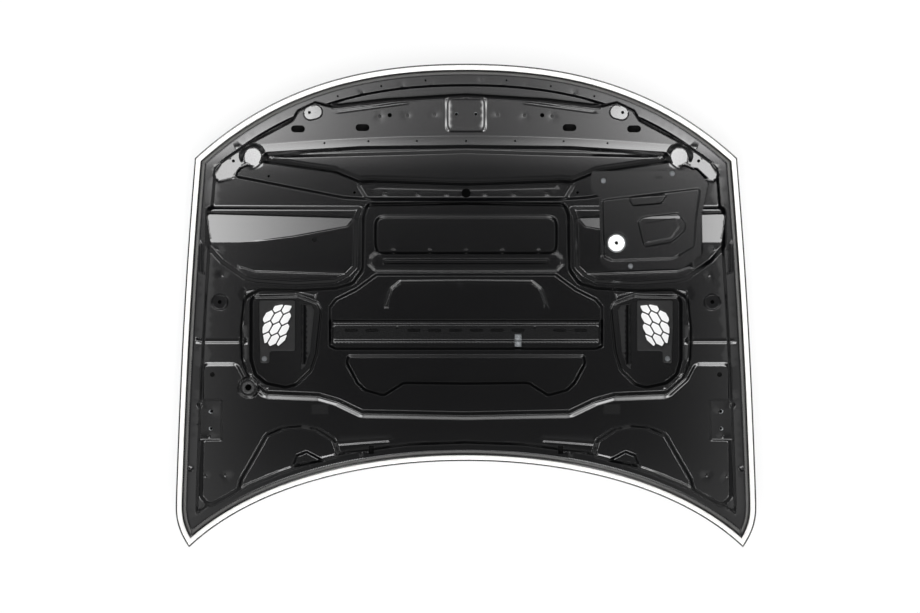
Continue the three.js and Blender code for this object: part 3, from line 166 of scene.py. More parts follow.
def moved_inside(outline, points, distance):
    """Points moved square to an outline, dropped where the outline is too narrow for it"""
    slope = np.column_stack([
        depth_inside(outline, points + offset) - depth_inside(outline, points - offset)
        for offset in ((0.5, 0), (0, 0.5))
    ])
    moved = points + distance * slope / np.maximum(1e-9, np.linalg.norm(slope, axis=1))[:, None]
    return moved[depth_inside(outline, moved) > distance - 0.2 * abs(distance) - 0.05]


def lattice(spacing, low, high):
    """Plan points in rows, every other row set off by half a spacing"""
    rows = []
    for i, y in enumerate(np.arange(low[1], high[1], spacing * math.sin(math.pi / 3))):
        x = np.arange(low[0] + (i % 2) * spacing / 2, high[0], spacing)
        rows.append(np.column_stack([x, 0 * x + y]))
    return np.vstack(rows)


def thinned(points, taken, closest):
    """The points that keep a least distance to the taken ones and to each other, first come first"""
    cells = {}
    for x, y in taken:
        cells.setdefault((int(x // closest), int(y // closest)), []).append((x, y))
    kept = []
    for x, y in points:
        i, j = int(x // closest), int(y // closest)
        around = [(i + di, j + dj) for di in (-1, 0, 1) for dj in (-1, 0, 1)]
        near = (p for cell in around for p in cells.get(cell, ()))
        if all((x - px) ** 2 + (y - py) ** 2 >= closest**2 for px, py in near):
            cells.setdefault((i, j), []).append((x, y))
            kept.append((x, y))
    return np.array(kept).reshape(-1, 2)


def plan_mesh(outline, holes, contours, spacing, closest):
    """Plan points and triangles of a sheet between its outline and its holes"""
    fixed = np.vstack([outline, *holes])
    drawn = thinned(np.vstack(contours), [], closest)
    between = thinned(lattice(spacing, fixed.min(0), fixed.max(0)), drawn, 0.5 * spacing)
    free = np.vstack([drawn, between])
    keep = depth_inside(outline, free) > closest / 2
    for hole in holes:
        near = np.all(np.abs(free - hole.mean(0)) < np.ptp(hole, axis=0) / 2 + closest, axis=1)
        keep[near] &= depth_inside(hole, free[near]) < -closest / 2
    free = free[keep]
    edges, start = [], 0
    for loop in (outline, *holes):
        edges += [(start + k, start + (k + 1) % len(loop)) for k in range(len(loop))]
        start += len(loop)
    result = delaunay_2d_cdt([Vector(p) for p in np.vstack([fixed, free])], edges, [], 0, 1e-4)
    points, triangles = np.array([tuple(p) for p in result[0]]), np.array(result[2])
    middle = points[triangles].mean(axis=1)
    inside = depth_inside(outline, middle) > 0
    for hole in holes:
        near = np.all(np.abs(middle - hole.mean(0)) < np.ptp(hole, axis=0) / 2 + 1, axis=1)
        inside[near] &= depth_inside(hole, middle[near]) < 0
    used, triangles = np.unique(triangles[inside], return_inverse=True)
    return points[used], triangles.reshape(-1, 3)


def facing_up(points, triangles):
    """The triangles with their corners anticlockwise, seen from above"""
    a, b, c = (points[triangles[:, k]] for k in range(3))
    flip = (b - a)[:, 0] * (c - a)[:, 1] < (b - a)[:, 1] * (c - a)[:, 0]
    return np.where(flip[:, None], triangles[:, ::-1], triangles)


def square_to(height, points, reach=0.35):
    """Unit normals of a height over plan points"""
    offsets = ((reach, 0), (0, reach))
    slopes = [(height(points + offset) - height(points - offset)) / (2 * reach) for offset in offsets]
    normals = np.column_stack([-slopes[0], -slopes[1], np.ones(len(points))])
    return normals / np.linalg.norm(normals, axis=1)[:, None]


def sheet_mesh(name, points, triangles, height, thickness, sharp=50):
    """A closed sheet over a height: its lower face lies a thickness below, square to the upper one"""
    top = np.column_stack([points, height(points)])
    triangles = facing_up(points, triangles)
    normals = square_to(height, points)
    bottom = top - thickness * normals / np.maximum(0.7, normals[:, 2:3])
    count = len(top)
    directed = np.vstack([triangles[:, [0, 1]], triangles[:, [1, 2]], triangles[:, [2, 0]]])
    keys = {(int(i), int(j)) for i, j in directed}
    walls = [(j, i, i + count, j + count) for i, j in keys if (j, i) not in keys]
    faces = triangles.tolist() + (triangles[:, ::-1] + count).tolist() + walls
    piece = mesh_object(name, np.vstack([top, bottom]), faces, sharp)
    shade_by(piece.data, np.vstack([normals, -normals]), 2 * len(triangles))
    return piece


def shade_by(mesh, normals, count):
    """Shades the first faces by the true slope of their surface, so that mesh lines don't show"""
    corners = np.zeros(len(mesh.loops), dtype=int)
    mesh.loops.foreach_get("vertex_index", corners)
    starts = np.zeros(len(mesh.polygons), dtype=int)
    mesh.polygons.foreach_get("loop_start", starts)
    shading = np.zeros((len(corners), 3))
    end = starts[count] if count < len(starts) else len(corners)
    shading[:end] = normals[corners[:end]]
    mesh.normals_split_custom_set(shading.tolist())


def mesh_object(name, vertices, faces, sharp=50):
    """A smooth-shaded object from vertices in millimetres, sharp where it turns by more than an angle"""
    mesh = bpy.data.meshes.new(name)
    mesh.from_pydata([tuple(v) for v in np.asarray(vertices) * MM], [], faces)
    mesh.update()
    mesh.shade_smooth()
    mesh.set_sharp_from_angle(angle=math.radians(sharp))
    piece = bpy.data.objects.new(name, mesh)
    bpy.context.scene.collection.objects.link(piece)
    return piece


def srgb(text):
    channels = [int(text[i:i + 2], 16) / 255 for i in (1, 3, 5)]
    return [c / 12.92 if c <= 0.04045 else ((c + 0.055) / 1.055) ** 2.4 for c in channels] + [1]


def add_node(material, kind, settings=None, links=None):
    """One shader node with its settings, socket values and incoming links"""
    tree = material.node_tree
    made = tree.nodes.new(kind)
    for key, value in (settings or {}).items():
        if hasattr(made, key):
            setattr(made, key, value)
        else:
            made.inputs[key].default_value = value
    for key, source in (links or {}).items():
        tree.links.new(source, made.inputs[key])
    return made


def surface(name, colour, roughness, metallic=0.0, ior=1.5, coat=0.0, coat_roughness=0.1):
    """A new material with its main shader, both ready for the pattern nodes"""
    material = bpy.data.materials.new(name)
    material.use_nodes = True
    shader = material.node_tree.nodes["Principled BSDF"]
    shader.inputs["Base Color"].default_value = srgb(colour)
    shader.inputs["Roughness"].default_value = roughness
    shader.inputs["Metallic"].default_value = metallic
    shader.inputs["IOR"].default_value = ior
    shader.inputs["Coat Weight"].default_value = coat
    shader.inputs["Coat Roughness"].default_value = coat_roughness
    return material, shader


def join(material, source, shader, socket):
    material.node_tree.links.new(source, shader.inputs[socket])


def pattern(material, scale, detail):
    """A cloudy pattern over the piece, its scale in waves to a metre"""
    place = add_node(material, "ShaderNodeTexCoord").outputs["Object"]
    settings = {"Scale": float(scale), "Detail": float(detail)}
    return add_node(material, "ShaderNodeTexNoise", settings, {"Vector": place}).outputs["Fac"]


def raise_by(material, shader, height, strength, distance):
    """A fine relief on a finish, as high as a distance in metres"""
    settings = {"Strength": strength, "Distance": distance}
    bump = add_node(material, "ShaderNodeBump", settings, {"Height": height})
    join(material, bump.outputs["Normal"], shader, "Normal")


def dull_by(material, shader, amount, least, most):
    """A roughness that wanders between two values with a pattern"""
    spread = add_node(material, "ShaderNodeMapRange", {"To Min": least, "To Max": most}, {"Value": amount})
    join(material, spread.outputs["Result"], shader, "Roughness")


def dress(piece, material, *nodes, slot):
    """Gives a piece its finish and puts it in the place of its CAD nodes"""
    piece.data.materials.clear()
    piece.data.materials.append(material)
    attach(piece, "root")
    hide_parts(*nodes)


# Gloss black topcoat: pigment under clear lacquer, sprayed, so it has a faint orange peel of
# about 3 mm and mirrors soft light with crisp edges
gloss_black, shader = surface("gloss_black_lacquer", "#050506", 0.3, coat=1.0, coat_roughness=0.06)
raise_by(gloss_black, shader, pattern(gloss_black, 330, 2), 0.05, 0.0003)

# The plain part of the skin inside its hem, with the two vent openings
vent_hole = rounded([
    (VENT_OUTER, VENT_FRONT), (VENT_INNER, VENT_FRONT), (VENT_INNER, VENT_REAR),
    (VENT_OUTER - 8, VENT_REAR), (VENT_OUTER, -60),
], 14, 4)
vent_holes = [divided(vent_hole, 9), divided(flipped(vent_hole), 9)]
RIM_SPACING = 9
skin_ring = rim_loop(20, RIM_SPACING)
bulge_edges = [moved_inside(bulge_plan, divided(bulge_plan, 16), d) for d in (0.01, 15, 30, 45)]
points, triangles = plan_mesh(skin_ring, vent_holes, bulge_edges, 20, 7)
triangles = facing_up(points, triangles)
low = skin_height(points)

# The hem's section from the inner side of its fold, over its raw edge, to the outer side: inset
# and height over the skin
HEM_EDGE = 0.2
hem_gap = SHEET + 2 * SEAT_GAP
hem_radius = SHEET + hem_gap / 2


def fold(radius, start, end, steps):
    angles = np.linspace(start, end, steps)
    return [(hem_radius + radius * math.cos(a), hem_radius + radius * math.sin(a)) for a in angles]


hem = fold(hem_gap / 2, -math.pi / 2, -3 * math.pi / 2, 9)
hem += [
    (HEM_RETURN - HEM_EDGE, SHEET + hem_gap), (HEM_RETURN, SHEET + hem_gap + HEM_EDGE),
    (HEM_RETURN, 2 * hem_radius - HEM_EDGE), (HEM_RETURN - HEM_EDGE, 2 * hem_radius),
]
hem += fold(hem_radius, math.pi / 2, 3 * math.pi / 2, 13)
vertices = [np.column_stack([points, low + SHEET]), np.column_stack([points, low])]
for inset, lift in hem:
    loop = rim_loop(inset, RIM_SPACING)
    vertices.append(np.column_stack([loop, skin_height(loop) + lift]))

# The two sides of the sheet are joined round the vents by a wall and round the rim by the hem
count, ring = len(points), len(skin_ring)
faces = triangles.tolist() + (triangles[:, ::-1] + count).tolist()
directed = {(int(t[i]), int(t[(i + 1) % 3])) for t in triangles for i in range(3)}
rows = [2 * count + k * ring for k in range(len(hem))]
for i, j in directed:
    if (j, i) in directed:
        continue
    if i < ring and j < ring:
        near, far = ([v] + [row + v for row in rows] + [v + count] for v in (i, j))
        faces += list(zip(near[:-1], near[1:], far[1:], far[:-1]))
    else:
        faces.append((i, i + count, j + count, j))
outer_skin = mesh_object("outer_skin_pressing", np.vstack(vertices), faces, 60)
dress(outer_skin, gloss_black, "outer_skin", slot="black_paint")

# Its inner face has only the matt dip primer, so the cavity seen through the slots stays dark
matt_primer, shader = surface("matt_black_dip_primer", "#050505", 0.75)
shader.inputs["Specular IOR Level"].default_value = 0.2
raise_by(matt_primer, shader, pattern(matt_primer, 300, 3), 0.1, 0.0003)
outer_skin.data.materials.append(matt_primer)
for face in outer_skin.data.polygons[:len(triangles)]:
    face.material_index = 1

# Inner panel
# One deep-drawn sheet that stiffens the bonnet: a front beam, a cross rail, arms and frames stand
# up from pockets and recesses. It is dipped and sprayed black before the hem is closed over it.
WALL_FOOT_INSET, WALL_TOP_INSET, STRIP_INSET, FIELD_INSET = 16.5, 31, 52, 60
STRIP, FIELD, REAR_FIELD, POCKET, RECESS = 24, 16, 12, 9, 10
FRAME, RAIL, ARM, BEAM, BAR_FLOOR, SHOULDER = 32, 36, 30, 38, 20, 22
BEAM_FALL, RAMP_FALL, RAMP_TOP_Y = 0.3, 0.2, 250
CUP, OVAL, BOSS, HINGE = (554, 386), (397, 499), (641, 8), (663, -299)
LATCH, GROMMET, VENT_CENTRE = (0, 496), (566, -214), (472, -72)
BAR_HALF_LENGTH, BAR_FRONT, BAR_REAR = 346, -36, -101
ACROSS = -80


def circle(centre, radius, sides=24):
    angles = 2 * math.pi * (np.arange(sides) + 0.5) / sides
    return np.column_stack([centre[0] + radius * np.cos(angles), centre[1] + radius * np.sin(angles)])


def obround(centre, size, tilt=0, steps=8):
    """A slot with round ends, its long way turned by tilt degrees"""
    radius, turn = size[1] / 2, math.radians(tilt)
    angles = math.pi * (np.arange(steps + 1) / steps - 0.5)
    x = size[0] / 2 - radius + radius * np.cos(angles)
    y = radius * np.sin(angles)
    x, y = np.concatenate([x, -x]), np.concatenate([y, -y])
    along, across = x * math.cos(turn) - y * math.sin(turn), x * math.sin(turn) + y * math.cos(turn)
    return np.column_stack([centre[0] + along, centre[1] + across])


def rectangle(centre, size):
    x, y = size[0] / 2, size[1] / 2
    cx, cy = centre
    return np.array([(cx - x, cy - y), (cx + x, cy - y), (cx + x, cy + y), (cx - x, cy + y)], float)


def folded(points):
    """Plan points with the left half laid over onto the right one"""
    return np.column_stack([np.abs(points[:, 0]), points[:, 1]])


def over_crown(level):
    return lambda x, y: crown(x, y) + level


def level_at(centre, level):
    return lambda x, y: 0 * x + crown(*centre) + level


def crown_seat(centre, level):
    """A flat seat that lies along the crown"""
    cx, cy = centre
    slope_x = (crown(cx + 1, cy) - crown(cx - 1, cy)) / 2
    slope_y = (crown(cx, cy + 1) - crown(cx, cy - 1)) / 2
    return lambda x, y: crown(cx, cy) + level + slope_x * (x - cx) + slope_y * (y - cy)


def beam_crease(x):
    return 441 - 22 * (x / 500) ** 2


def beam_height(x, y):
    return crown(x, y) + BEAM - BEAM_FALL * np.maximum(0, beam_crease(x) - y)


def ramp_height(x, y):
    return crown(x, y) + STRIP + 2 - RAMP_FALL * np.maximum(0, RAMP_TOP_Y - y)


well_seat = crown_seat(VENT_CENTRE, 8)
latch_seat = crown_seat(LATCH, BEAM)
hinge_seat = crown_seat(HINGE, 18)
grommet_seat = crown_seat(GROMMET, FRAME)

front_beam = rounded([
    (ACROSS, 556), (212, 538), (352, 521), (392, 530), (438, 508), (455, 482), (585, 413), (640, 374),
    (661, 340), (648, 314), (604, 326), (582, 352), (516, 388), (270, 404), (ACROSS, 409),
], 14)

# Each pressed form: outline on the right half, width of its wall, height it leads to, and its
# side, 0 where it is pressed on both
forms = [
    (rounded([(ACROSS, -292), (272, -285), (337, -254), (386, -240), (524, -234), (571, -192), (594, -148),
              (692, -148), (692, -500), (664, -528), (567, -474), (484, -440), (400, -412), (317, -392),
              (150, -370), (ACROSS, -362)], 24), 12, over_crown(REAR_FIELD), 0),
    (rounded([(600, -492), (590, -450), (546, -373), (524, -333), (477, -313), (429, -309), (385, -318),
              (338, -348), (322, -396), (400, -414), (484, -442), (567, -476)], 24), 14,
     over_crown(SHOULDER), 0),
    (rounded([(444, -388), (415, -377), (356, -408), (459, -426)], 8), 10, over_crown(REAR_FIELD), 0),
    (rounded([(678, 260), (266, 260), (280, 226), (284, 96), (306, 74), (341, 56), (445, 50), (550, 57),
              (578, 64), (642, 109), (678, 150)], 20), 14, over_crown(POCKET), 0),
    (rounded([(676, 240), (288, 230), (310, 204), (450, 178), (588, 160), (668, 160)], 12), 4,
     ramp_height, 0),
    (rounded([(ACROSS, 409), (516, 392), (530, 378), (339, 351), (277, 326), (248, 328), (ACROSS, 317)], 12),
     12, over_crown(RECESS), 0),
    (rounded([(ACROSS, 273), (262, 268), (274, 235), (276, 95), (300, 62), (341, 50), (445, 44), (541, 46),
              (582, 22), (592, -60), (590, -140), (571, -192), (524, -234), (386, -240), (337, -254),
              (272, -285), (ACROSS, -292)], 26), 13, over_crown(FRAME), 0),
    (rounded([(ACROSS, 317), (248, 328), (277, 326), (339, 351), (530, 378), (600, 360), (602, 330),
              (321, 276), (230, 270), (ACROSS, 270)], 12), 9, over_crown(ARM), 0),
    (rounded([(ACROSS, 314), (240, 324), (290, 318), (262, 274), (ACROSS, 274)], 12), 9, over_crown(RAIL), 0),
    (front_beam, 10, beam_height, 0),
    (rounded([(ACROSS, 235), (241, 235), (241, 131), (ACROSS, 131)], 30), 9, over_crown(RECESS), 0),
    (rounded([(ACROSS, 122), (217, 122), (217, 105), (ACROSS, 105)], 8), 5, over_crown(FRAME - 8), 0),
    (rounded([(ACROSS, 84), (235, 84), (290, 44), (342, 18), (BAR_HALF_LENGTH + 14, -4),
              (BAR_HALF_LENGTH + 14, -110), (340, -119), (ACROSS, -119)], 8), 9, over_crown(BAR_FLOOR), 0),
    (rounded([(ACROSS, -129), (311, -129), (316, -153), (287, -206), (266, -226), (214, -241), (162, -208),
              (ACROSS, -211)], 16), 9, over_crown(RECESS), 0),
    (rounded([(556, 27), (437, 29), (382, 8), (373, -13), (385, -126), (400, -173), (440, -212), (470, -220),
              (524, -208), (553, -184), (565, -143), (565, 10)], 22), 10, well_seat, 0),
    (circle(CUP, 36, 40), 15, level_at(CUP, 26), 0),
    (obround(OVAL, (54, 40), -15, 12), 4, level_at(OVAL, BEAM + 3), 0),
    (circle(BOSS, 23, 32), 5, level_at(BOSS, 22), 0),
    (rounded(rectangle(LATCH, (110, 95)), 18), 6, latch_seat, 0),
    (rounded(rectangle(HINGE, (62, 110)), 6), 6, hinge_seat, 0),
    (circle(GROMMET, 30, 32), 7, grommet_seat, -1),
]

# Beads, grooves and steps pressed over the forms: path on the right half, half width, rise, side
beads = [
    ([(-20, 137), (235, 137), (252, 122), (252, 106), (237, 92), (-20, 91)], 5, 2.5, 0),
    ([(-20, 63), (172, 61), (196, 42), (209, 2)], 5, -1.6, 0),
    ([(320, 83), (553, 91), (584, 101)], 5, 3.0, 0),
    ([(578, -94), (693, -94)], 8, 3.5, 0),
    ([(577, 36), (583, -60), (579, -160), (556, -196), (520, -222)], 4.5, 2.5, 0),
    ([(571, 36), (540, 42), (450, 40), (392, 26)], 4.5, 2.0, 0),
    ([(203, -352), (262, -356), (338, -362)], 7, 3.0, 0),
    ([(240, -380), (320, -384)], 4, 2.0, 0),
    ([(150, 524), (330, 500)], 5, -1.2, 0),
    ([(0, 538), (170, 528), (350, 508)], 3.5, 1.2, 0),
    ([(690, 160), (690, 86)], 6, -2.5, 0),
    ([(-20, 300), (230, 306)], 4, 0.8, 0),
]
# Small domes and dimples: centre on the right half, radius, rise, side
domes = [
    (x, y, 6, 2.0, 0) for x, y in ((50, 288), (125, 288), (212, 289), (82, 494), (152, 492), (224, 490))
]
domes += [(x, y, 5, 1.8, s) for x, y, s in (
    (90, 574, -1), (167, 569, -1), (271, 551, -1), (40, 585, 1), (97, 572, 1), (157, 566, 1), (281, 547, 1))]
domes += [(x, 143, 5, -1.8, 0) for x in (0, 95, 190)]
domes += [(x, y, 9, -2.5, 0) for x, y in ((692, -260), (714, -424))]
domes += [
    (x, y, 5, 1.6, 0)
    for x, y in ((648, 146), (634, 78), (666, -342), (625, -442), (676, -444), (660, -277))
]

# Holes that both halves have: slots for the cables, holes for screws, bolts, clips and drainage
SCREW_HOLE, DRAIN_HOLE, CLIP_HOLE, ROUND_HOLE, HINGE_BOLTS_APART = 3.6, 2.6, 3.2, 12, 44
paired_holes = [
    obround((436, 457), (36, 18)), obround((269, 461), (36, 18)), circle((198, 493), 5.5),
    circle((406, 499), 4), circle((604, 374), 4), circle((396, 171), 6), circle(BOSS, 5),
    circle((660, -181), 6), circle((LATCH[0] + 25, LATCH[1]), 4.5),
    circle((HINGE[0], HINGE[1] - HINGE_BOLTS_APART / 2), 5),
    circle((HINGE[0], HINGE[1] + HINGE_BOLTS_APART / 2), 5),
    rectangle((247, -378), (13, 20)), rectangle((381, -272), (44, 26)), circle((526, -140), SCREW_HOLE),
]
drains = ((105, 583), (220, 568), (333, 542), (128, 427), (254, 426), (368, 421))
paired_holes += [circle(centre, DRAIN_HOLE, 10) for centre in drains]
paired_holes += [circle(centre, CLIP_HOLE, 12) for centre in ((291, 293), (513, 335))]
bracket_screws = [(358, 324), (536, 342), (430, 102)]
panel_holes = [divided(h, 8) for h in paired_holes] + [divided(flipped(h), 8) for h in paired_holes]
panel_holes += vent_holes
panel_holes += [circle(centre, ROUND_HOLE, 28) for centre in ((0, 292), (-GROMMET[0], GROMMET[1]))]
panel_holes.append(circle((0, 427), DRAIN_HOLE, 10))
panel_holes += [circle(centre, SCREW_HOLE, 12) for centre in bracket_screws]
rim = rim_loop(0, 12)


def path_distance(path, points):
    nearest = np.full(len(points), 1e9)
    for a, b in zip(np.array(path[:-1], float), np.array(path[1:], float)):
        along = np.clip((points - a) @ (b - a) / ((b - a) @ (b - a)), 0, 1)
        nearest = np.minimum(nearest, np.linalg.norm(points - a - along[:, None] * (b - a), axis=1))
    return nearest


def near_box(outline, points, margin=2):
    low, high = np.min(outline, axis=0) - margin, np.max(outline, axis=0) + margin
    return np.flatnonzero(np.all((points > low) & (points < high), axis=1))


def laid_over(height, points, pressed, mirrored_half=True):
    """Lays pressed forms over a height, each blended in across its wall"""
    for outline, slope, leads_to, half in pressed:
        across = folded(points) if mirrored_half else points
        near = near_box(outline, across)
        if half:
            near = near[half * points[near, 0] > 0]
        blend = eased(depth_inside(outline, across[near]) / slope)
        height[near] += (leads_to(*across[near].T) - height[near]) * blend
    return height


def panel_height(points):
    inset = depth_inside(rim, points)
    flange = SHEET + SEAT_GAP + SHEET
    wall = eased((inset - WALL_FOOT_INSET) / (WALL_TOP_INSET - WALL_FOOT_INSET), 0.2)
    step = eased((inset - STRIP_INSET) / (FIELD_INSET - STRIP_INSET))
    height = crown(*points.T) + flange + (STRIP - flange) * wall + (FIELD - STRIP) * step
    height = laid_over(height, points, forms)
    across = folded(points)
    for path, half_width, rise, half in beads:
        near = near_box(path, across, half_width)
        near = near[half * points[near, 0] >= 0]
        reach = np.clip(path_distance(path, across[near]) / half_width, 0, 1)
        height[near] += rise * np.cos(reach * math.pi / 2) ** 2
    for x, y, radius, rise, half in domes:
        near = near_box([(x, y)], across, radius)
        near = near[half * points[near, 0] >= 0]
        reach = np.clip(np.hypot(*(across[near] - (x, y)).T) / radius, 0, 1)
        height[near] += rise * (1 - reach**2) ** 2
    return height


def wall_rings(outline, foot, slope):
    """Plan points along a pressed wall, in rows that are closest where it bends"""
    bends = (0.15, 0.3, 0.7, 0.85) if slope > 8 else (0.3, 0.7)
    rows = [-0.45, *(slope * t for t in bends), slope + 0.5]
    return np.vstack([moved_inside(outline, foot, row) for row in rows])


# Points along the walls, left out where a later form is pressed over them
contours = []
for i, (outline, slope, leads_to, half) in enumerate(forms):
    rings = wall_rings(outline, divided(outline, 6), slope)
    keep = (rings[:, 0] > -1) & (depth_inside(rim, rings) > WALL_FOOT_INSET)
    for later, later_slope, _, later_half in forms[i + 1:]:
        if not later_half:
            near = near_box(later, rings)
            keep[near] &= depth_inside(later, rings[near]) < later_slope
    rings = rings[keep]
    contours += [rings] * (half >= 0) + [rings * (-1, 1)] * (half <= 0)
details = []
for path, half_width, rise, half in beads:
    path = np.array(path, float)
    for a, b in zip(path[:-1], path[1:]):
        length = np.linalg.norm(b - a)
        square = np.array([a[1] - b[1], b[0] - a[0]]) / length
        at = np.arange(0, length, 5.0)[:, None] / length
        lines = np.vstack([a + (b - a) * at + square * half_width * t for t in (-1, -0.55, 0, 0.55, 1)])
        details += [lines] * (half >= 0) + [lines * (-1, 1)] * (half <= 0)
for x, y, radius, rise, half in domes:
    rings = np.vstack([circle((x, y), radius * t, 12) for t in (1, 0.66, 0.33)] + [[(x, y)]])
    details += [rings] * (half >= 0) + [rings * (-1, 1)] * (half <= 0)
x = np.arange(-640, 641, 5.0)
lines = np.vstack([np.column_stack([x, beam_crease(x) + shift]) for shift in (-2, 0, 2)])
details.append(lines[depth_inside(front_beam, folded(lines)) > 12])

# The wall and the step that run round the whole rim come first, then the forms from the last
contours.reverse()
for inset in (16.5, 19, 21.4, 23.8, 26.2, 28.6, 31, 33.5, 52, 54.7, 57.4, 60):
    loop = rim_loop(inset, 7)
    contours.insert(0, loop[depth_inside(rim, loop) > inset - 1])
for hole in panel_holes:
    details.append(moved_inside(hole, hole, -2.2))
points, triangles = plan_mesh(rim_loop(PANEL_EDGE_INSET, 9), panel_holes, details + contours, 15, 1.3)
inner_panel = sheet_mesh("inner_panel_pressing", points, triangles, panel_height, SHEET)

# Satin black coating of the pressing: dip primer and a thin topcoat that cures with a fine
# orange peel, so it mirrors soft light with blurred edges and is nearly black elsewhere
satin_black, shader = surface("satin_black_dip_coat", "#040405", 0.2, coat=1.0, coat_roughness=0.14)
shader.inputs["Specular IOR Level"].default_value = 0.06
raise_by(satin_black, shader, pattern(satin_black, 420, 3), 0.06, 0.0003)
dull_by(satin_black, shader, pattern(satin_black, 9, 4), 0.16, 0.24)
dress(inner_panel, satin_black, "inner_panel", slot="black_paint")

# Hem sealer
# A bead of white sealer run by nozzle over the hem's raw edge, all round the bonnet. It was
# brushed down, so its width and height wander a little.
SEALER_START, SEALER_END, SEALER_HEIGHT = 4, 15.5, 1.3
flange_top = 2 * SHEET + SEAT_GAP
hem_top = flange_top + SEAT_GAP + SHEET
edge = HEM_RETURN + SEAT_GAP
sealer_profile = [
    (SEALER_START, hem_top + 0.3, 0), (edge, hem_top + 0.3, 0), (edge, flange_top + 0.3, 0),
    (SEALER_END, flange_top + 0.3, 0), (SEALER_END - 0.2, hem_top + 0.4, 0.4),
    (SEALER_END - 1, hem_top + 0.3 + 0.6 * SEALER_HEIGHT, 0.6),
    (HEM_RETURN, hem_top + 0.3 + SEALER_HEIGHT, 1),
    (8, hem_top + 0.35 + SEALER_HEIGHT, 1), (SEALER_START + 2, hem_top + 0.25 + SEALER_HEIGHT, 1),
    (SEALER_START + 0.6, hem_top + 0.3 + 0.6 * SEALER_HEIGHT, 0.6),
]
loops = []
for inset, lift, loose in sealer_profile:
    loop = rim_loop(inset, 5)
    run = np.arange(len(loop)) / len(loop) * 2 * math.pi
    wander = np.sin(61 * run + 1) + 0.7 * np.sin(143 * run + 2) + 0.5 * np.sin(307 * run + 4)
    loops.append(np.column_stack([loop, skin_height(loop) + lift + 0.12 * loose * wander]))
count, around = len(loops[0]), len(loops)
faces = []
for k in range(around):
    here, above = k * count, (k + 1) % around * count
    faces += [(here + i, above + i, above + (i + 1) % count, here + (i + 1) % count) for i in range(count)]
hem_sealer = mesh_object("hem_sealer_bead", np.vstack(loops), faces, 80)

# PVC seam sealer: a matt white paste that skins over, a little grey where dust has settled
white_sealer, shader = surface("white_pvc_seam_sealer", "#f0efec", 0.55)
dust = pattern(white_sealer, 45, 5)
tint = add_node(white_sealer, "ShaderNodeMix", {"data_type": "RGBA"}, {"Factor": dust})
tint.inputs[6].default_value = srgb("#e8e7e4")
tint.inputs[7].default_value = srgb("#f8f7f4")
join(white_sealer, tint.outputs[2], shader, "Base Color")
raise_by(white_sealer, shader, pattern(white_sealer, 260, 2), 0.3, 0.0004)
dress(hem_sealer, white_sealer, "hem_sealer", slot="white_sealant")

# Slotted bar
# A roll-formed steel strip with a ridge along its front edge and a row of slots, coated black.
# It is held on the floor of the panel's middle recess.
BAR_THICKNESS, BAR_RIDGE, BAR_WEB = 1.2, 11, 6
SLOT_PITCH, SLOT_Y = 54.5, -66
bar_section = [
    (BAR_REAR, 0), (BAR_REAR + 6, 0), (BAR_REAR + 11, BAR_WEB), (BAR_FRONT - 17, BAR_WEB),
    (BAR_FRONT - 13, BAR_RIDGE), (BAR_FRONT - 7, BAR_RIDGE), (BAR_FRONT - 3, 0), (BAR_FRONT, 0),
]


def bar_height(points):
    x, y = points.T
    ys, rises = zip(*bar_section)
    rise = np.mean([np.interp(y + shift, ys, rises) for shift in (-0.9, -0.45, 0, 0.45, 0.9)], axis=0)
    return crown(x, y) + BAR_FLOOR + 2.5 * SEAT_GAP + BAR_THICKNESS + rise


bar_size = (2 * BAR_HALF_LENGTH, BAR_FRONT - BAR_REAR)
bar_outline = divided(rounded(rectangle((0, (BAR_FRONT + BAR_REAR) / 2), bar_size), 5), 9)
bar_slots = [
    divided(obround((s * p * SLOT_PITCH, SLOT_Y), (34, 8)), 8)
    for p in (0.5, 1.5, 2.5, 4.5, 5.5) for s in (-1, 1)
]
bar_slots += [circle((s * 180, -61), 3, 14) for s in (-1, 1)]
x = np.arange(-BAR_HALF_LENGTH, BAR_HALF_LENGTH, 9.0)
lines = [np.column_stack([x, 0 * x + y + shift]) for y, _ in bar_section[1:-1] for shift in (-1.3, 0, 1.3)]
points, triangles = plan_mesh(bar_outline, bar_slots, lines, 9, 1.2)
slotted_bar = sheet_mesh("slotted_bar_strip", points, triangles, bar_height, BAR_THICKNESS)

# Black electrocoat on steel: a thin even coat, smoother and glossier than the pressing's
black_coat, shader = surface("black_electrocoat", "#050506", 0.25, coat=1.0, coat_roughness=0.16)
shader.inputs["Specular IOR Level"].default_value = 0.06
raise_by(black_coat, shader, pattern(black_coat, 500, 2), 0.05, 0.0002)
dress(slotted_bar, black_coat, "slotted_bar", slot="black_coat")

# Latch doubler
# A plate spot-welded on the middle of the front beam, where the striker's two screws pull.
DOUBLER_TOP, DOUBLER_THICKNESS, DOUBLER_EDGE = 1.5, 0.5, 1.2
latch_outline = divided(rounded(rectangle(LATCH, (92, 77)), 14), 6)
latch_holes = [circle((LATCH[0] + s * 25, LATCH[1]), 4.5, 20) for s in (-1, 1)]
rings = [moved_inside(latch_outline, latch_outline, d) for d in (DOUBLER_EDGE / 2, DOUBLER_EDGE)]
points, triangles = plan_mesh(latch_outline, latch_holes, rings, 10, 0.5)


def doubler_height(points):
    edge_drop = 0.4 * (1 - eased(depth_inside(latch_outline, points) / DOUBLER_EDGE))
    return latch_seat(*points.T) + DOUBLER_TOP - edge_drop


latch_doubler = sheet_mesh(
    "latch_doubler_plate", points, triangles, doubler_height, DOUBLER_THICKNESS)
dress(latch_doubler, satin_black, "latch_doubler", slot="black_coat")

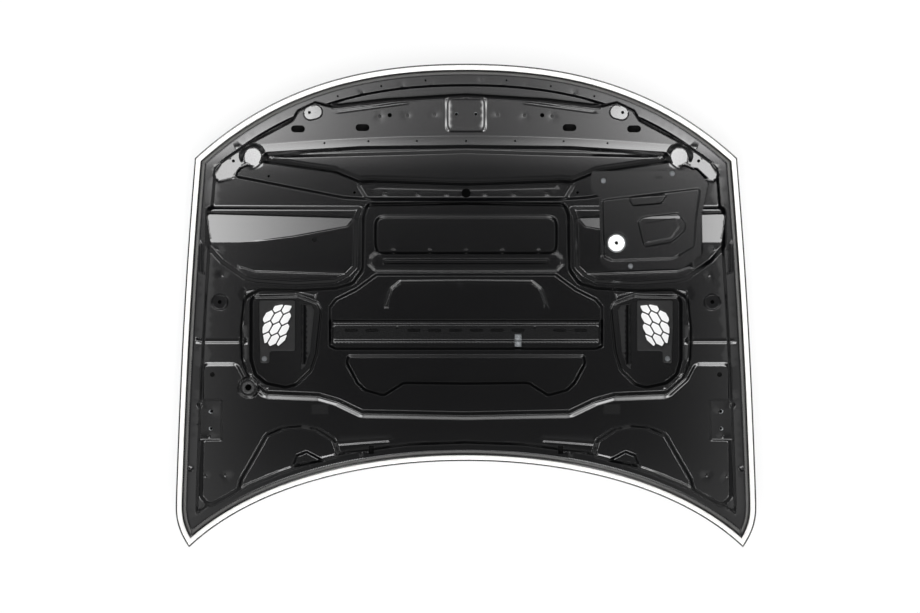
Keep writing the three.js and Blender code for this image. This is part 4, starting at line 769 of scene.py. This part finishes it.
# Bracket plate
# A pressed steel plate screwed over the right pocket, with two dishes that stiffen it and a round
# seat for the stand-off. It is coated like the slotted bar.
BRACKET, BRACKET_THICKNESS, BRACKET_STEP_Y = 26, 1.2, 128
STANDOFF = (393, 162)
bracket_outline = divided(rounded([
    (326, 348), (326, 300), (346, 282), (352, 112), (377, 91), (566, 95), (612, 132), (612, 234),
    (629, 315), (599, 350),
], 10), 7)
upper_dish = rounded([(420, 282), (433, 256), (509, 262), (530, 290)], 10)
wide_dish = rounded([
    (446, 217), (459, 231), (552, 242), (575, 211), (572, 191), (536, 161), (463, 148),
], 12)
inner_dish = rounded([(463, 214), (546, 227), (559, 208), (536, 174), (470, 161)], 8)
raised_field = rounded([
    (354, 276), (358, 124), (382, 113), (540, 118), (596, 150), (602, 232), (612, 306),
], 12)
bracket_forms = [
    (raised_field, 6, over_crown(BRACKET), 0),
    (upper_dish, 5, over_crown(BRACKET - 5), 0),
    (wide_dish, 5, over_crown(BRACKET - 5), 0),
    (inner_dish, 3, over_crown(BRACKET - 3), 0),
    (circle(STANDOFF, 31, 36), 4, crown_seat(STANDOFF, BRACKET), 0),
]


def bracket_height(points):
    """The plate lies on the arm at its front and on the pocket's floor at its rear"""
    x, y = points.T
    rests_on = np.where(y > BRACKET_STEP_Y, ARM, POCKET)
    seat = crown(x, y) + rests_on + 1.5 * (SEAT_GAP + BRACKET_THICKNESS)
    return laid_over(seat, points, bracket_forms, mirrored_half=False)


rings = [wall_rings(outline, divided(outline, 5), slope) for outline, slope, _, _ in bracket_forms]
bracket_holes = [circle(c, SCREW_HOLE, 14) for c in bracket_screws] + [obround((500, 332), (22, 7))]
points, triangles = plan_mesh(bracket_outline, bracket_holes, rings, 10, 1.3)
bracket_plate = sheet_mesh("bracket_plate_pressing", points, triangles, bracket_height, BRACKET_THICKNESS)
dress(bracket_plate, black_coat, "bracket_plate", slot="black_coat")


# Stand-off
# A turned steel spacer on the bracket plate, zinc plated, with a threaded bore of 9 mm.
def turned_part(name, profile, centre, base, sides=40, sharp=35):
    """A lathe-turned piece that stands square to the crown"""
    x, y = centre
    slope = crown(x - 1, y) - crown(x + 1, y), crown(x, y - 1) - crown(x, y + 1)
    turn = Vector((0, 0, 1)).rotation_difference(Vector((*slope, 2)).normalized()).to_matrix()
    vertices, faces = [], []
    for row, (radius, height) in enumerate(profile):
        here, above = row * sides, (row + 1) % len(profile) * sides
        for k in range(sides):
            angle = 2 * math.pi * k / sides
            point = Vector((radius * math.cos(angle), radius * math.sin(angle), height))
            vertices.append(turn @ point + Vector((x, y, base)))
            faces.append((here + k, here + (k + 1) % sides, above + (k + 1) % sides, above + k))
    return mesh_object(name, vertices, faces, sharp)


standoff_seat = crown(*STANDOFF) + BRACKET + SEAT_GAP
standoff_profile = [
    (4.5, 0.6), (5.1, 0), (24.4, 0), (25, 0.6), (25, 8), (24.6, 9), (21.6, 15.5), (21, 16), (5.3, 16),
    (4.5, 15.2), (4.2, 12), (4.5, 10), (4.2, 8), (4.5, 6),
]
standoff = turned_part("standoff_spacer", standoff_profile, STANDOFF, standoff_seat, 56)

# Bright zinc plating over turned steel: pale and shiny, with cloudy spots of about 8 mm
bright_zinc, shader = surface("bright_zinc_plating", "#dcdddd", 0.32, metallic=0.85)
spots = pattern(bright_zinc, 120, 4)
dull_by(bright_zinc, shader, spots, 0.26, 0.4)
raise_by(bright_zinc, shader, spots, 0.1, 0.0002)
dress(standoff, bright_zinc, "bracket_standoff", slot="zinc")

# Screws
# Short flange screws with a hexagon head that is hollow in the middle. Three hold the bracket
# plate and one holds each vent grille.
def screw(name, centre, base):
    """A screw whose round flange carries a hexagon head"""
    shank_and_flange = [
        (0.3, -5.5), (2.2, -5.5), (2.6, -5), (2.6, 0), (6.8, 0), (7, 0.3), (7, 1), (6.4, 1.5), (5.4, 1.7),
        (0.3, 1.7),
    ]
    hexagon = [(0.3, 1.6), (4.9, 1.6), (4.9, 3.4), (4.3, 3.9), (2.4, 3.9), (2.2, 2.6), (0.3, 2.6)]
    body = turned_part(name, shank_and_flange, centre, base, 30)
    head = turned_part(name + "_head", hexagon, centre, base, 6)
    vertices, faces = [], []
    for part in (body, head):
        offset = len(vertices)
        vertices += [tuple(v.co / MM) for v in part.data.vertices]
        faces += [tuple(v + offset for v in p.vertices) for p in part.data.polygons]
        bpy.data.objects.remove(part)
    return mesh_object(name, vertices, faces, 30)


# Zinc-flake coating of the screws and the clip: baked flakes in a dark binder, dull and grey
zinc_flake, shader = surface("zinc_flake_coating", "#5c5e60", 0.5, metallic=0.8)
dull_by(zinc_flake, shader, pattern(zinc_flake, 700, 3), 0.44, 0.6)
for i, centre in enumerate(bracket_screws):
    base = bracket_height(np.array([centre], float))[0] + 1.5 * SEAT_GAP
    dress(screw(f"flange_screw_{i + 1}", centre, base), zinc_flake, f"bracket_screw_{i + 1}", slot="zinc")

# Vent grilles
# Each is a flat black moulding clipped over a vent, with leaf-shaped cells in three slanted
# columns. The bars between the cells are rounded on top.
MARGIN, GRILLE_HEIGHT, BAR_ROUNDING, SCREW_TAB_REAR = 6, 3, 2, -152
SCREW_AT = (526, -140)
grille_outline = rounded([
    (VENT_OUTER + MARGIN, VENT_FRONT + MARGIN), (VENT_INNER - MARGIN, VENT_FRONT + MARGIN),
    (VENT_INNER - MARGIN, VENT_REAR - MARGIN), (SCREW_AT[0] - 14, VENT_REAR - MARGIN),
    (SCREW_AT[0] - 14, SCREW_TAB_REAR), (SCREW_AT[0] + 12, SCREW_TAB_REAR),
    (SCREW_AT[0] + 12, VENT_REAR - MARGIN), (VENT_OUTER + MARGIN, -60),
], 8, 4)

# The window that the cells fill, right half, anticlockwise
cell_window = [
    (VENT_OUTER - 8, VENT_FRONT - 28), (VENT_OUTER - 29, VENT_FRONT - 12), (VENT_INNER + 31, VENT_FRONT - 7),
    (VENT_INNER + 5, VENT_FRONT - 10), (VENT_INNER + 8, VENT_FRONT - 51), (VENT_INNER + 15, VENT_FRONT - 82),
    (VENT_INNER + 22, VENT_REAR + 22), (VENT_INNER + 40, VENT_REAR + 6), (VENT_OUTER - 25, VENT_REAR + 5),
    (VENT_OUTER - 10, VENT_REAR + 10), (VENT_OUTER - 4, VENT_REAR + 44), (VENT_OUTER - 5, VENT_REAR + 74),
]
CELL_BAR, CELL_LEAST_AREA = 3.5, 60
column_step, row_step = np.array((22.9, 2.9)), np.array((-4.2, 29.2))


def clipped(polygon, a, b, inset):
    """The part of a polygon that lies left of a line, moved in by a distance"""
    kept = []
    dx, dy = b - a
    side = [(dx * (y - a[1]) - dy * (x - a[0])) / math.dist(a, b) - inset for x, y in polygon]
    for i, here in enumerate(polygon):
        ahead = (i + 1) % len(polygon)
        if side[i] > 0:
            kept.append(here)
        if (side[i] > 0) != (side[ahead] > 0):
            kept.append(here + (polygon[ahead] - here) * side[i] / (side[i] - side[ahead]))
    return kept


half_cell = [
    (column_step + row_step) / 3, (2 * row_step - column_step) / 3, (row_step - 2 * column_step) / 3,
]
cell_corners = half_cell + [-corner for corner in half_cell]
cells = []
for column in range(-3, 4):
    for row in range(-3, 4):
        centre = np.array((498, -62)) + column * column_step + row * row_step
        cell = [np.array(p, float) for p in cell_window]
        for a, b in zip(cell_corners, cell_corners[1:] + cell_corners[:1]):
            cell = clipped(cell, centre + a, centre + b, CELL_BAR / 2)
        cell = [p for i, p in enumerate(cell) if math.dist(p, cell[i - 1]) > 1.5]
        if len(cell) > 2:
            x, y = np.array(cell).T
            if abs(x @ np.roll(y, 1) - y @ np.roll(x, 1)) / 2 > CELL_LEAST_AREA:
                cells.append(rounded(cell, 2, 4))
grille_holes = cells + [circle(SCREW_AT, SCREW_HOLE, 14)]

# Glass-filled nylon moulding: matt black with a fine spark-eroded grain of about 0.2 mm, drawn
# at 0.5 mm so that it shows
black_nylon, shader = surface("moulded_black_nylon", "#070708", 0.5, ior=1.53)
shader.inputs["Specular IOR Level"].default_value = 0.2
raise_by(black_nylon, shader, pattern(black_nylon, 2000, 1), 0.15, 0.0002)

outline = divided(grille_outline, 6)
holes = [divided(h, 5) for h in grille_holes]


def grille_height(points):
    """Flat bars whose edges are rounded over the last 2 mm"""
    across = folded(points)
    away = depth_inside(outline, across)
    for hole in holes:
        away = np.minimum(away, -depth_inside(hole, across))
    edge_drop = 1.4 * (1 - np.clip(away / BAR_ROUNDING, 0, 1)) ** 2
    return well_seat(*across.T) + SEAT_GAP + GRILLE_HEIGHT - edge_drop


for half, label in ((-1, "left"), (1, "right")):
    inner_rings = [moved_inside(outline, outline, d) for d in (1.5, 3)]
    cell_rings = [moved_inside(h, h, -d) for h in holes for d in (0.8, 1.6)]
    points, triangles = plan_mesh(outline, holes, inner_rings + cell_rings, 6, 0.6)
    points = points * (half, 1)
    grille = sheet_mesh(f"vent_grille_moulding_{label}", points, triangles, grille_height, 1.6, sharp=60)
    dress(grille, black_nylon, f"vent_grille_{label}", slot="black_plastic")
    base = well_seat(*SCREW_AT) + 2 * SEAT_GAP + GRILLE_HEIGHT
    grille_screw = screw(f"grille_screw_{label}", (half * SCREW_AT[0], SCREW_AT[1]), base)
    dress(grille_screw, zinc_flake, f"vent_screw_{label}", slot="zinc")

# Vent baffles
# A moulded strip beside each grille, with an upright rib that turns the air towards the vent.
STRIP_HEIGHT, RIB_RISE = 2, 12
baffle_outline = np.array([(431, 6), (404, 0), (396, -14), (406, -120), (418, -158), (431, -170)], float)
rib_outline = np.array([(429, 2), (422, 2), (422, -156), (429, -156)], float)
baffle_edge = divided(rounded(baffle_outline, 3, 3), 6)


def baffle_height(points):
    across = folded(points)
    rise = RIB_RISE * eased(depth_inside(rib_outline, across) / 2, 0.2)
    edge_drop = 0.8 * (1 - eased(depth_inside(baffle_edge, across) / 1.6))
    return well_seat(*across.T) + SEAT_GAP + STRIP_HEIGHT + rise - edge_drop


for half, label in ((-1, "left"), (1, "right")):
    rings = [moved_inside(rib_outline, divided(rib_outline, 5), d) for d in (0.05, 0.7, 1.4, 2.1)]
    rings += [moved_inside(baffle_edge, baffle_edge, d) for d in (0.8, 1.6)]
    points, triangles = plan_mesh(baffle_edge, [], rings, 8, 0.6)
    points = points * (half, 1)
    baffle = sheet_mesh(f"vent_baffle_moulding_{label}", points, triangles, baffle_height, 1)
    dress(baffle, black_nylon, f"vent_baffle_{label}", slot="black_plastic")

# Spring clip
# A strip of spring steel folded over the bar's rear edge, where a cable is caught under it.
clip_x, clip_y = 2.5 * SLOT_PITCH, BAR_REAR
clip_base = crown(clip_x, clip_y) + BAR_FLOOR + 3.5 * SEAT_GAP + BAR_THICKNESS
clip_web = clip_base + BAR_WEB
clip_line = np.array([
    (-8, clip_base + 0.5), (4.3, clip_base + 0.5), (5.5, clip_base + 1.1), (10, clip_web - 0.4),
    (11, clip_web), (20, clip_web), (22, clip_web + 0.3), (24, clip_web + 1.6), (25.6, clip_web + 3.8),
])
vertices, across = [], (-9, -8.4, 8.4, 9)
for along, z in clip_line:
    for s in across:
        vertices.append((clip_x + s, clip_y + along, z + (0.9 if abs(s) < 9 else 0.5)))
    for s in reversed(across):
        vertices.append((clip_x + s, clip_y + along, z + (0.0 if abs(s) < 9 else 0.3)))
faces = [
    (r * 8 + k, r * 8 + (k + 1) % 8, (r + 1) * 8 + (k + 1) % 8, (r + 1) * 8 + k)
    for r in range(len(clip_line) - 1) for k in range(8)
]
faces += [tuple(range(8))[::-1], tuple((len(clip_line) - 1) * 8 + k for k in range(8))]
spring_clip = mesh_object("spring_clip_strip", vertices, faces, 40)
dress(spring_clip, zinc_flake, "spring_clip", slot="zinc")

# Hose grommet
# A moulded rubber ring in a hole of the left frame, for the washer hose. Its lip is rounded and a
# groove holds it on the sheet.
grommet_profile = [
    (8, -4), (8.8, -4.3), (14, -4.3), (15, -3.4), (15, -1.3), (11, -1.3), (11, 0.3), (16.2, 0.3), (17, 1),
    (16.8, 2.4), (15.6, 3.2), (13, 3.3), (9.6, 3.3), (8.4, 2.8), (8, 1.6),
]
hose_grommet = turned_part(
    "hose_grommet_ring", grommet_profile, (-GROMMET[0], GROMMET[1]), grommet_seat(*GROMMET), 44)

# EPDM rubber: dull black with a slight bloom that greys it
black_rubber, shader = surface("moulded_epdm_rubber", "#141415", 0.6, ior=1.52)
dull_by(black_rubber, shader, pattern(black_rubber, 160, 4), 0.5, 0.72)
dress(hose_grommet, black_rubber, "hose_grommet", slot="black_rubber")

# Hidden metal
# Reinforcements, weld nuts and rear plates are zinc-coated steel behind the panel. They show only
# through its holes, so the imported solids stay and get a galvanised finish, the rear plates a black
# electrocoat over it.
galvanised, shader = surface("galvanised_steel", "#8f9294", 0.45, metallic=0.9)
place = add_node(galvanised, "ShaderNodeTexCoord").outputs["Object"]
spangle = add_node(galvanised, "ShaderNodeTexVoronoi", {"Scale": 110.0}, {"Vector": place})
dull_by(galvanised, shader, spangle.outputs["Distance"], 0.38, 0.58)

# Mastic
# Soft grey pads pressed between the two sheets, which keep the skin from drumming.
soft_mastic, shader = surface("butyl_mastic", "#3b3b3d", 0.8)
raise_by(soft_mastic, shader, pattern(soft_mastic, 150, 3), 0.4, 0.001)
for name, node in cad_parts.items():
    if name.startswith(("hinge_", "rear_plate", "latch_reinforcement", "mastic_")):
        node.data.materials.clear()
        finish = soft_mastic if name.startswith("mastic_") else galvanised
        node.data.materials.append(black_coat if name.startswith("rear_plate") else finish)

# Floor
# White studio paper, just under the skin. The camera sees it as white, and it still takes the
# bonnet's shadow.
FLOOR_HALF, FLOOR_Z = 30, -0.0006
paper = bpy.data.meshes.new("studio_floor")
corners = [(x * FLOOR_HALF, y * FLOOR_HALF, FLOOR_Z) for x, y in ((-1, -1), (1, -1), (1, 1), (-1, 1))]
paper.from_pydata(corners, [], [(0, 1, 2, 3)])
floor = bpy.data.objects.new("studio_floor", paper)
bpy.context.scene.collection.objects.link(floor)
white_paper, shader = surface("white_studio_paper", "#f2f2f2", 0.9)
path = add_node(white_paper, "ShaderNodeLightPath")
glow = add_node(white_paper, "ShaderNodeEmission", {"Color": (1, 1, 1, 1), "Strength": 1.0})
seen = add_node(white_paper, "ShaderNodeMath", {"operation": "MULTIPLY"}, {0: path.outputs["Is Camera Ray"]})
seen.inputs[1].default_value = 0.85
mixed = add_node(
    white_paper, "ShaderNodeMixShader", None, {0: seen.outputs[0], 1: shader.outputs[0], 2: glow.outputs[0]})
join(white_paper, mixed.outputs[0], white_paper.node_tree.nodes["Material Output"], "Surface")
floor.data.materials.append(white_paper)

# Studio light
# The studio is dark straight above the bonnet, so its crown stays black, while level lands and
# sloping faces mirror what is brighter around the camera. Two small boxes light the nose.
scene = bpy.context.scene


def soft_box(name, centre, size, strength):
    lamp = bpy.data.lights.new(name, "AREA")
    lamp.shape = "RECTANGLE"
    lamp.size, lamp.size_y = size
    lamp.energy = strength * size[0] * size[1] * math.pi
    box = bpy.data.objects.new(name, lamp)
    scene.collection.objects.link(box)
    box.location = centre
    box.visible_camera = False
    return box


for side, label in ((-1, "left"), (1, "right")):
    soft_box(f"side_box_{label}", (side * 0.67, 0.58, 3.0), (0.4, 0.4), 22)

# The room behind them, by where a direction meets the ceiling: how far across and how far along
# for each unit of height. Its walls are pale near the floor. Two windows hang towards the rear,
# dim in the middle and brighter to both sides, and two panels beside and one ahead.
world = bpy.data.worlds.new("studio_dark")
scene.world = world
world.use_nodes = True
back = world.node_tree.nodes["Background"]
back.inputs["Color"].default_value = (1, 1, 1, 1)


def number(operation, *values):
    """A sum on numbers or node outputs, for the studio's brightness"""
    made = add_node(world, "ShaderNodeMath", {"operation": operation})
    for i, value in enumerate(values):
        if isinstance(value, bpy.types.NodeSocket):
            world.node_tree.links.new(value, made.inputs[i])
        else:
            made.inputs[i].default_value = value
    return made.outputs[0]


def soft_step(value, low, high):
    """0 at low, 1 at high, which may also be the lesser one"""
    settings = {"interpolation_type": "SMOOTHSTEP", "From Min": low, "From Max": high}
    return add_node(world, "ShaderNodeMapRange", settings, {"Value": value}).outputs["Result"]


def band(value, start, full, fading, end):
    """1 from full to fading, eased down to 0 at start and at end"""
    return number("MULTIPLY", soft_step(value, start, full), soft_step(value, end, fading))


heading = add_node(world, "ShaderNodeTexCoord")
parts = add_node(world, "ShaderNodeSeparateXYZ", None, {"Vector": heading.outputs["Generated"]})
up = number("MAXIMUM", parts.outputs["Z"], 0.02)
across_room = number("ABSOLUTE", number("DIVIDE", parts.outputs["X"], up))
along_room = number("DIVIDE", parts.outputs["Y"], up)
low = number("SUBTRACT", 1.0, parts.outputs["Z"])
walls = number("ADD", 0.03, number("MULTIPLY", number("MULTIPLY", low, low), 1.1))
rising = number("MULTIPLY", 0.5, number("EXPONENT", number("MULTIPLY", 16.0, across_room)))
near_window = band(along_room, -0.72, -0.6, -0.27, -0.12)
far_window = band(along_room, -1.1, -0.96, -0.8, -0.68)
window = number("MULTIPLY", rising, number("ADD", near_window, number("MULTIPLY", 3.5, far_window)))
window = number("MULTIPLY", number("MINIMUM", window, 14.0), soft_step(across_room, 0.44, 0.3))
beside = number("MULTIPLY", band(across_room, 0.185, 0.205, 0.3, 0.5), soft_step(
    number("ABSOLUTE", along_room), 0.5, 0.3))
ahead = number("MULTIPLY", band(along_room, 0.18, 0.28, 0.4, 0.55), soft_step(across_room, 0.45, 0.3))
panels = number("MAXIMUM", beside, number("MULTIPLY", 0.5, ahead))
glare = number("ADD", walls, number("ADD", window, panels))
world.node_tree.links.new(glare, back.inputs["Strength"])
seen_back = add_node(world, "ShaderNodeBackground", {"Color": (1, 1, 1, 1), "Strength": 1.0})
path = add_node(world, "ShaderNodeLightPath")
mixed = add_node(world, "ShaderNodeMixShader", None, {
    0: path.outputs["Is Camera Ray"], 1: back.outputs[0], 2: seen_back.outputs[0]})
world.node_tree.links.new(mixed.outputs[0], world.node_tree.nodes["World Output"].inputs["Surface"])

# Camera
# Straight above the bonnet, its nose to the top of the picture, 2.6 mm to a picture point.
CAMERA_HEIGHT, MEAN_HEIGHT, PICTURE_WIDTH, PICTURE_POINT, SENSOR = 8.0, 0.08, 920, 0.0026, 36
lens = bpy.data.cameras.new("camera")
camera = bpy.data.objects.new("camera", lens)
scene.collection.objects.link(camera)
camera.location = (-0.0156, -0.0039, CAMERA_HEIGHT)
lens.sensor_width = SENSOR
lens.lens = SENSOR * (CAMERA_HEIGHT - MEAN_HEIGHT) / (PICTURE_WIDTH * PICTURE_POINT)
lens.clip_end = 200
scene.camera = camera
scene.view_settings.view_transform = "Standard"
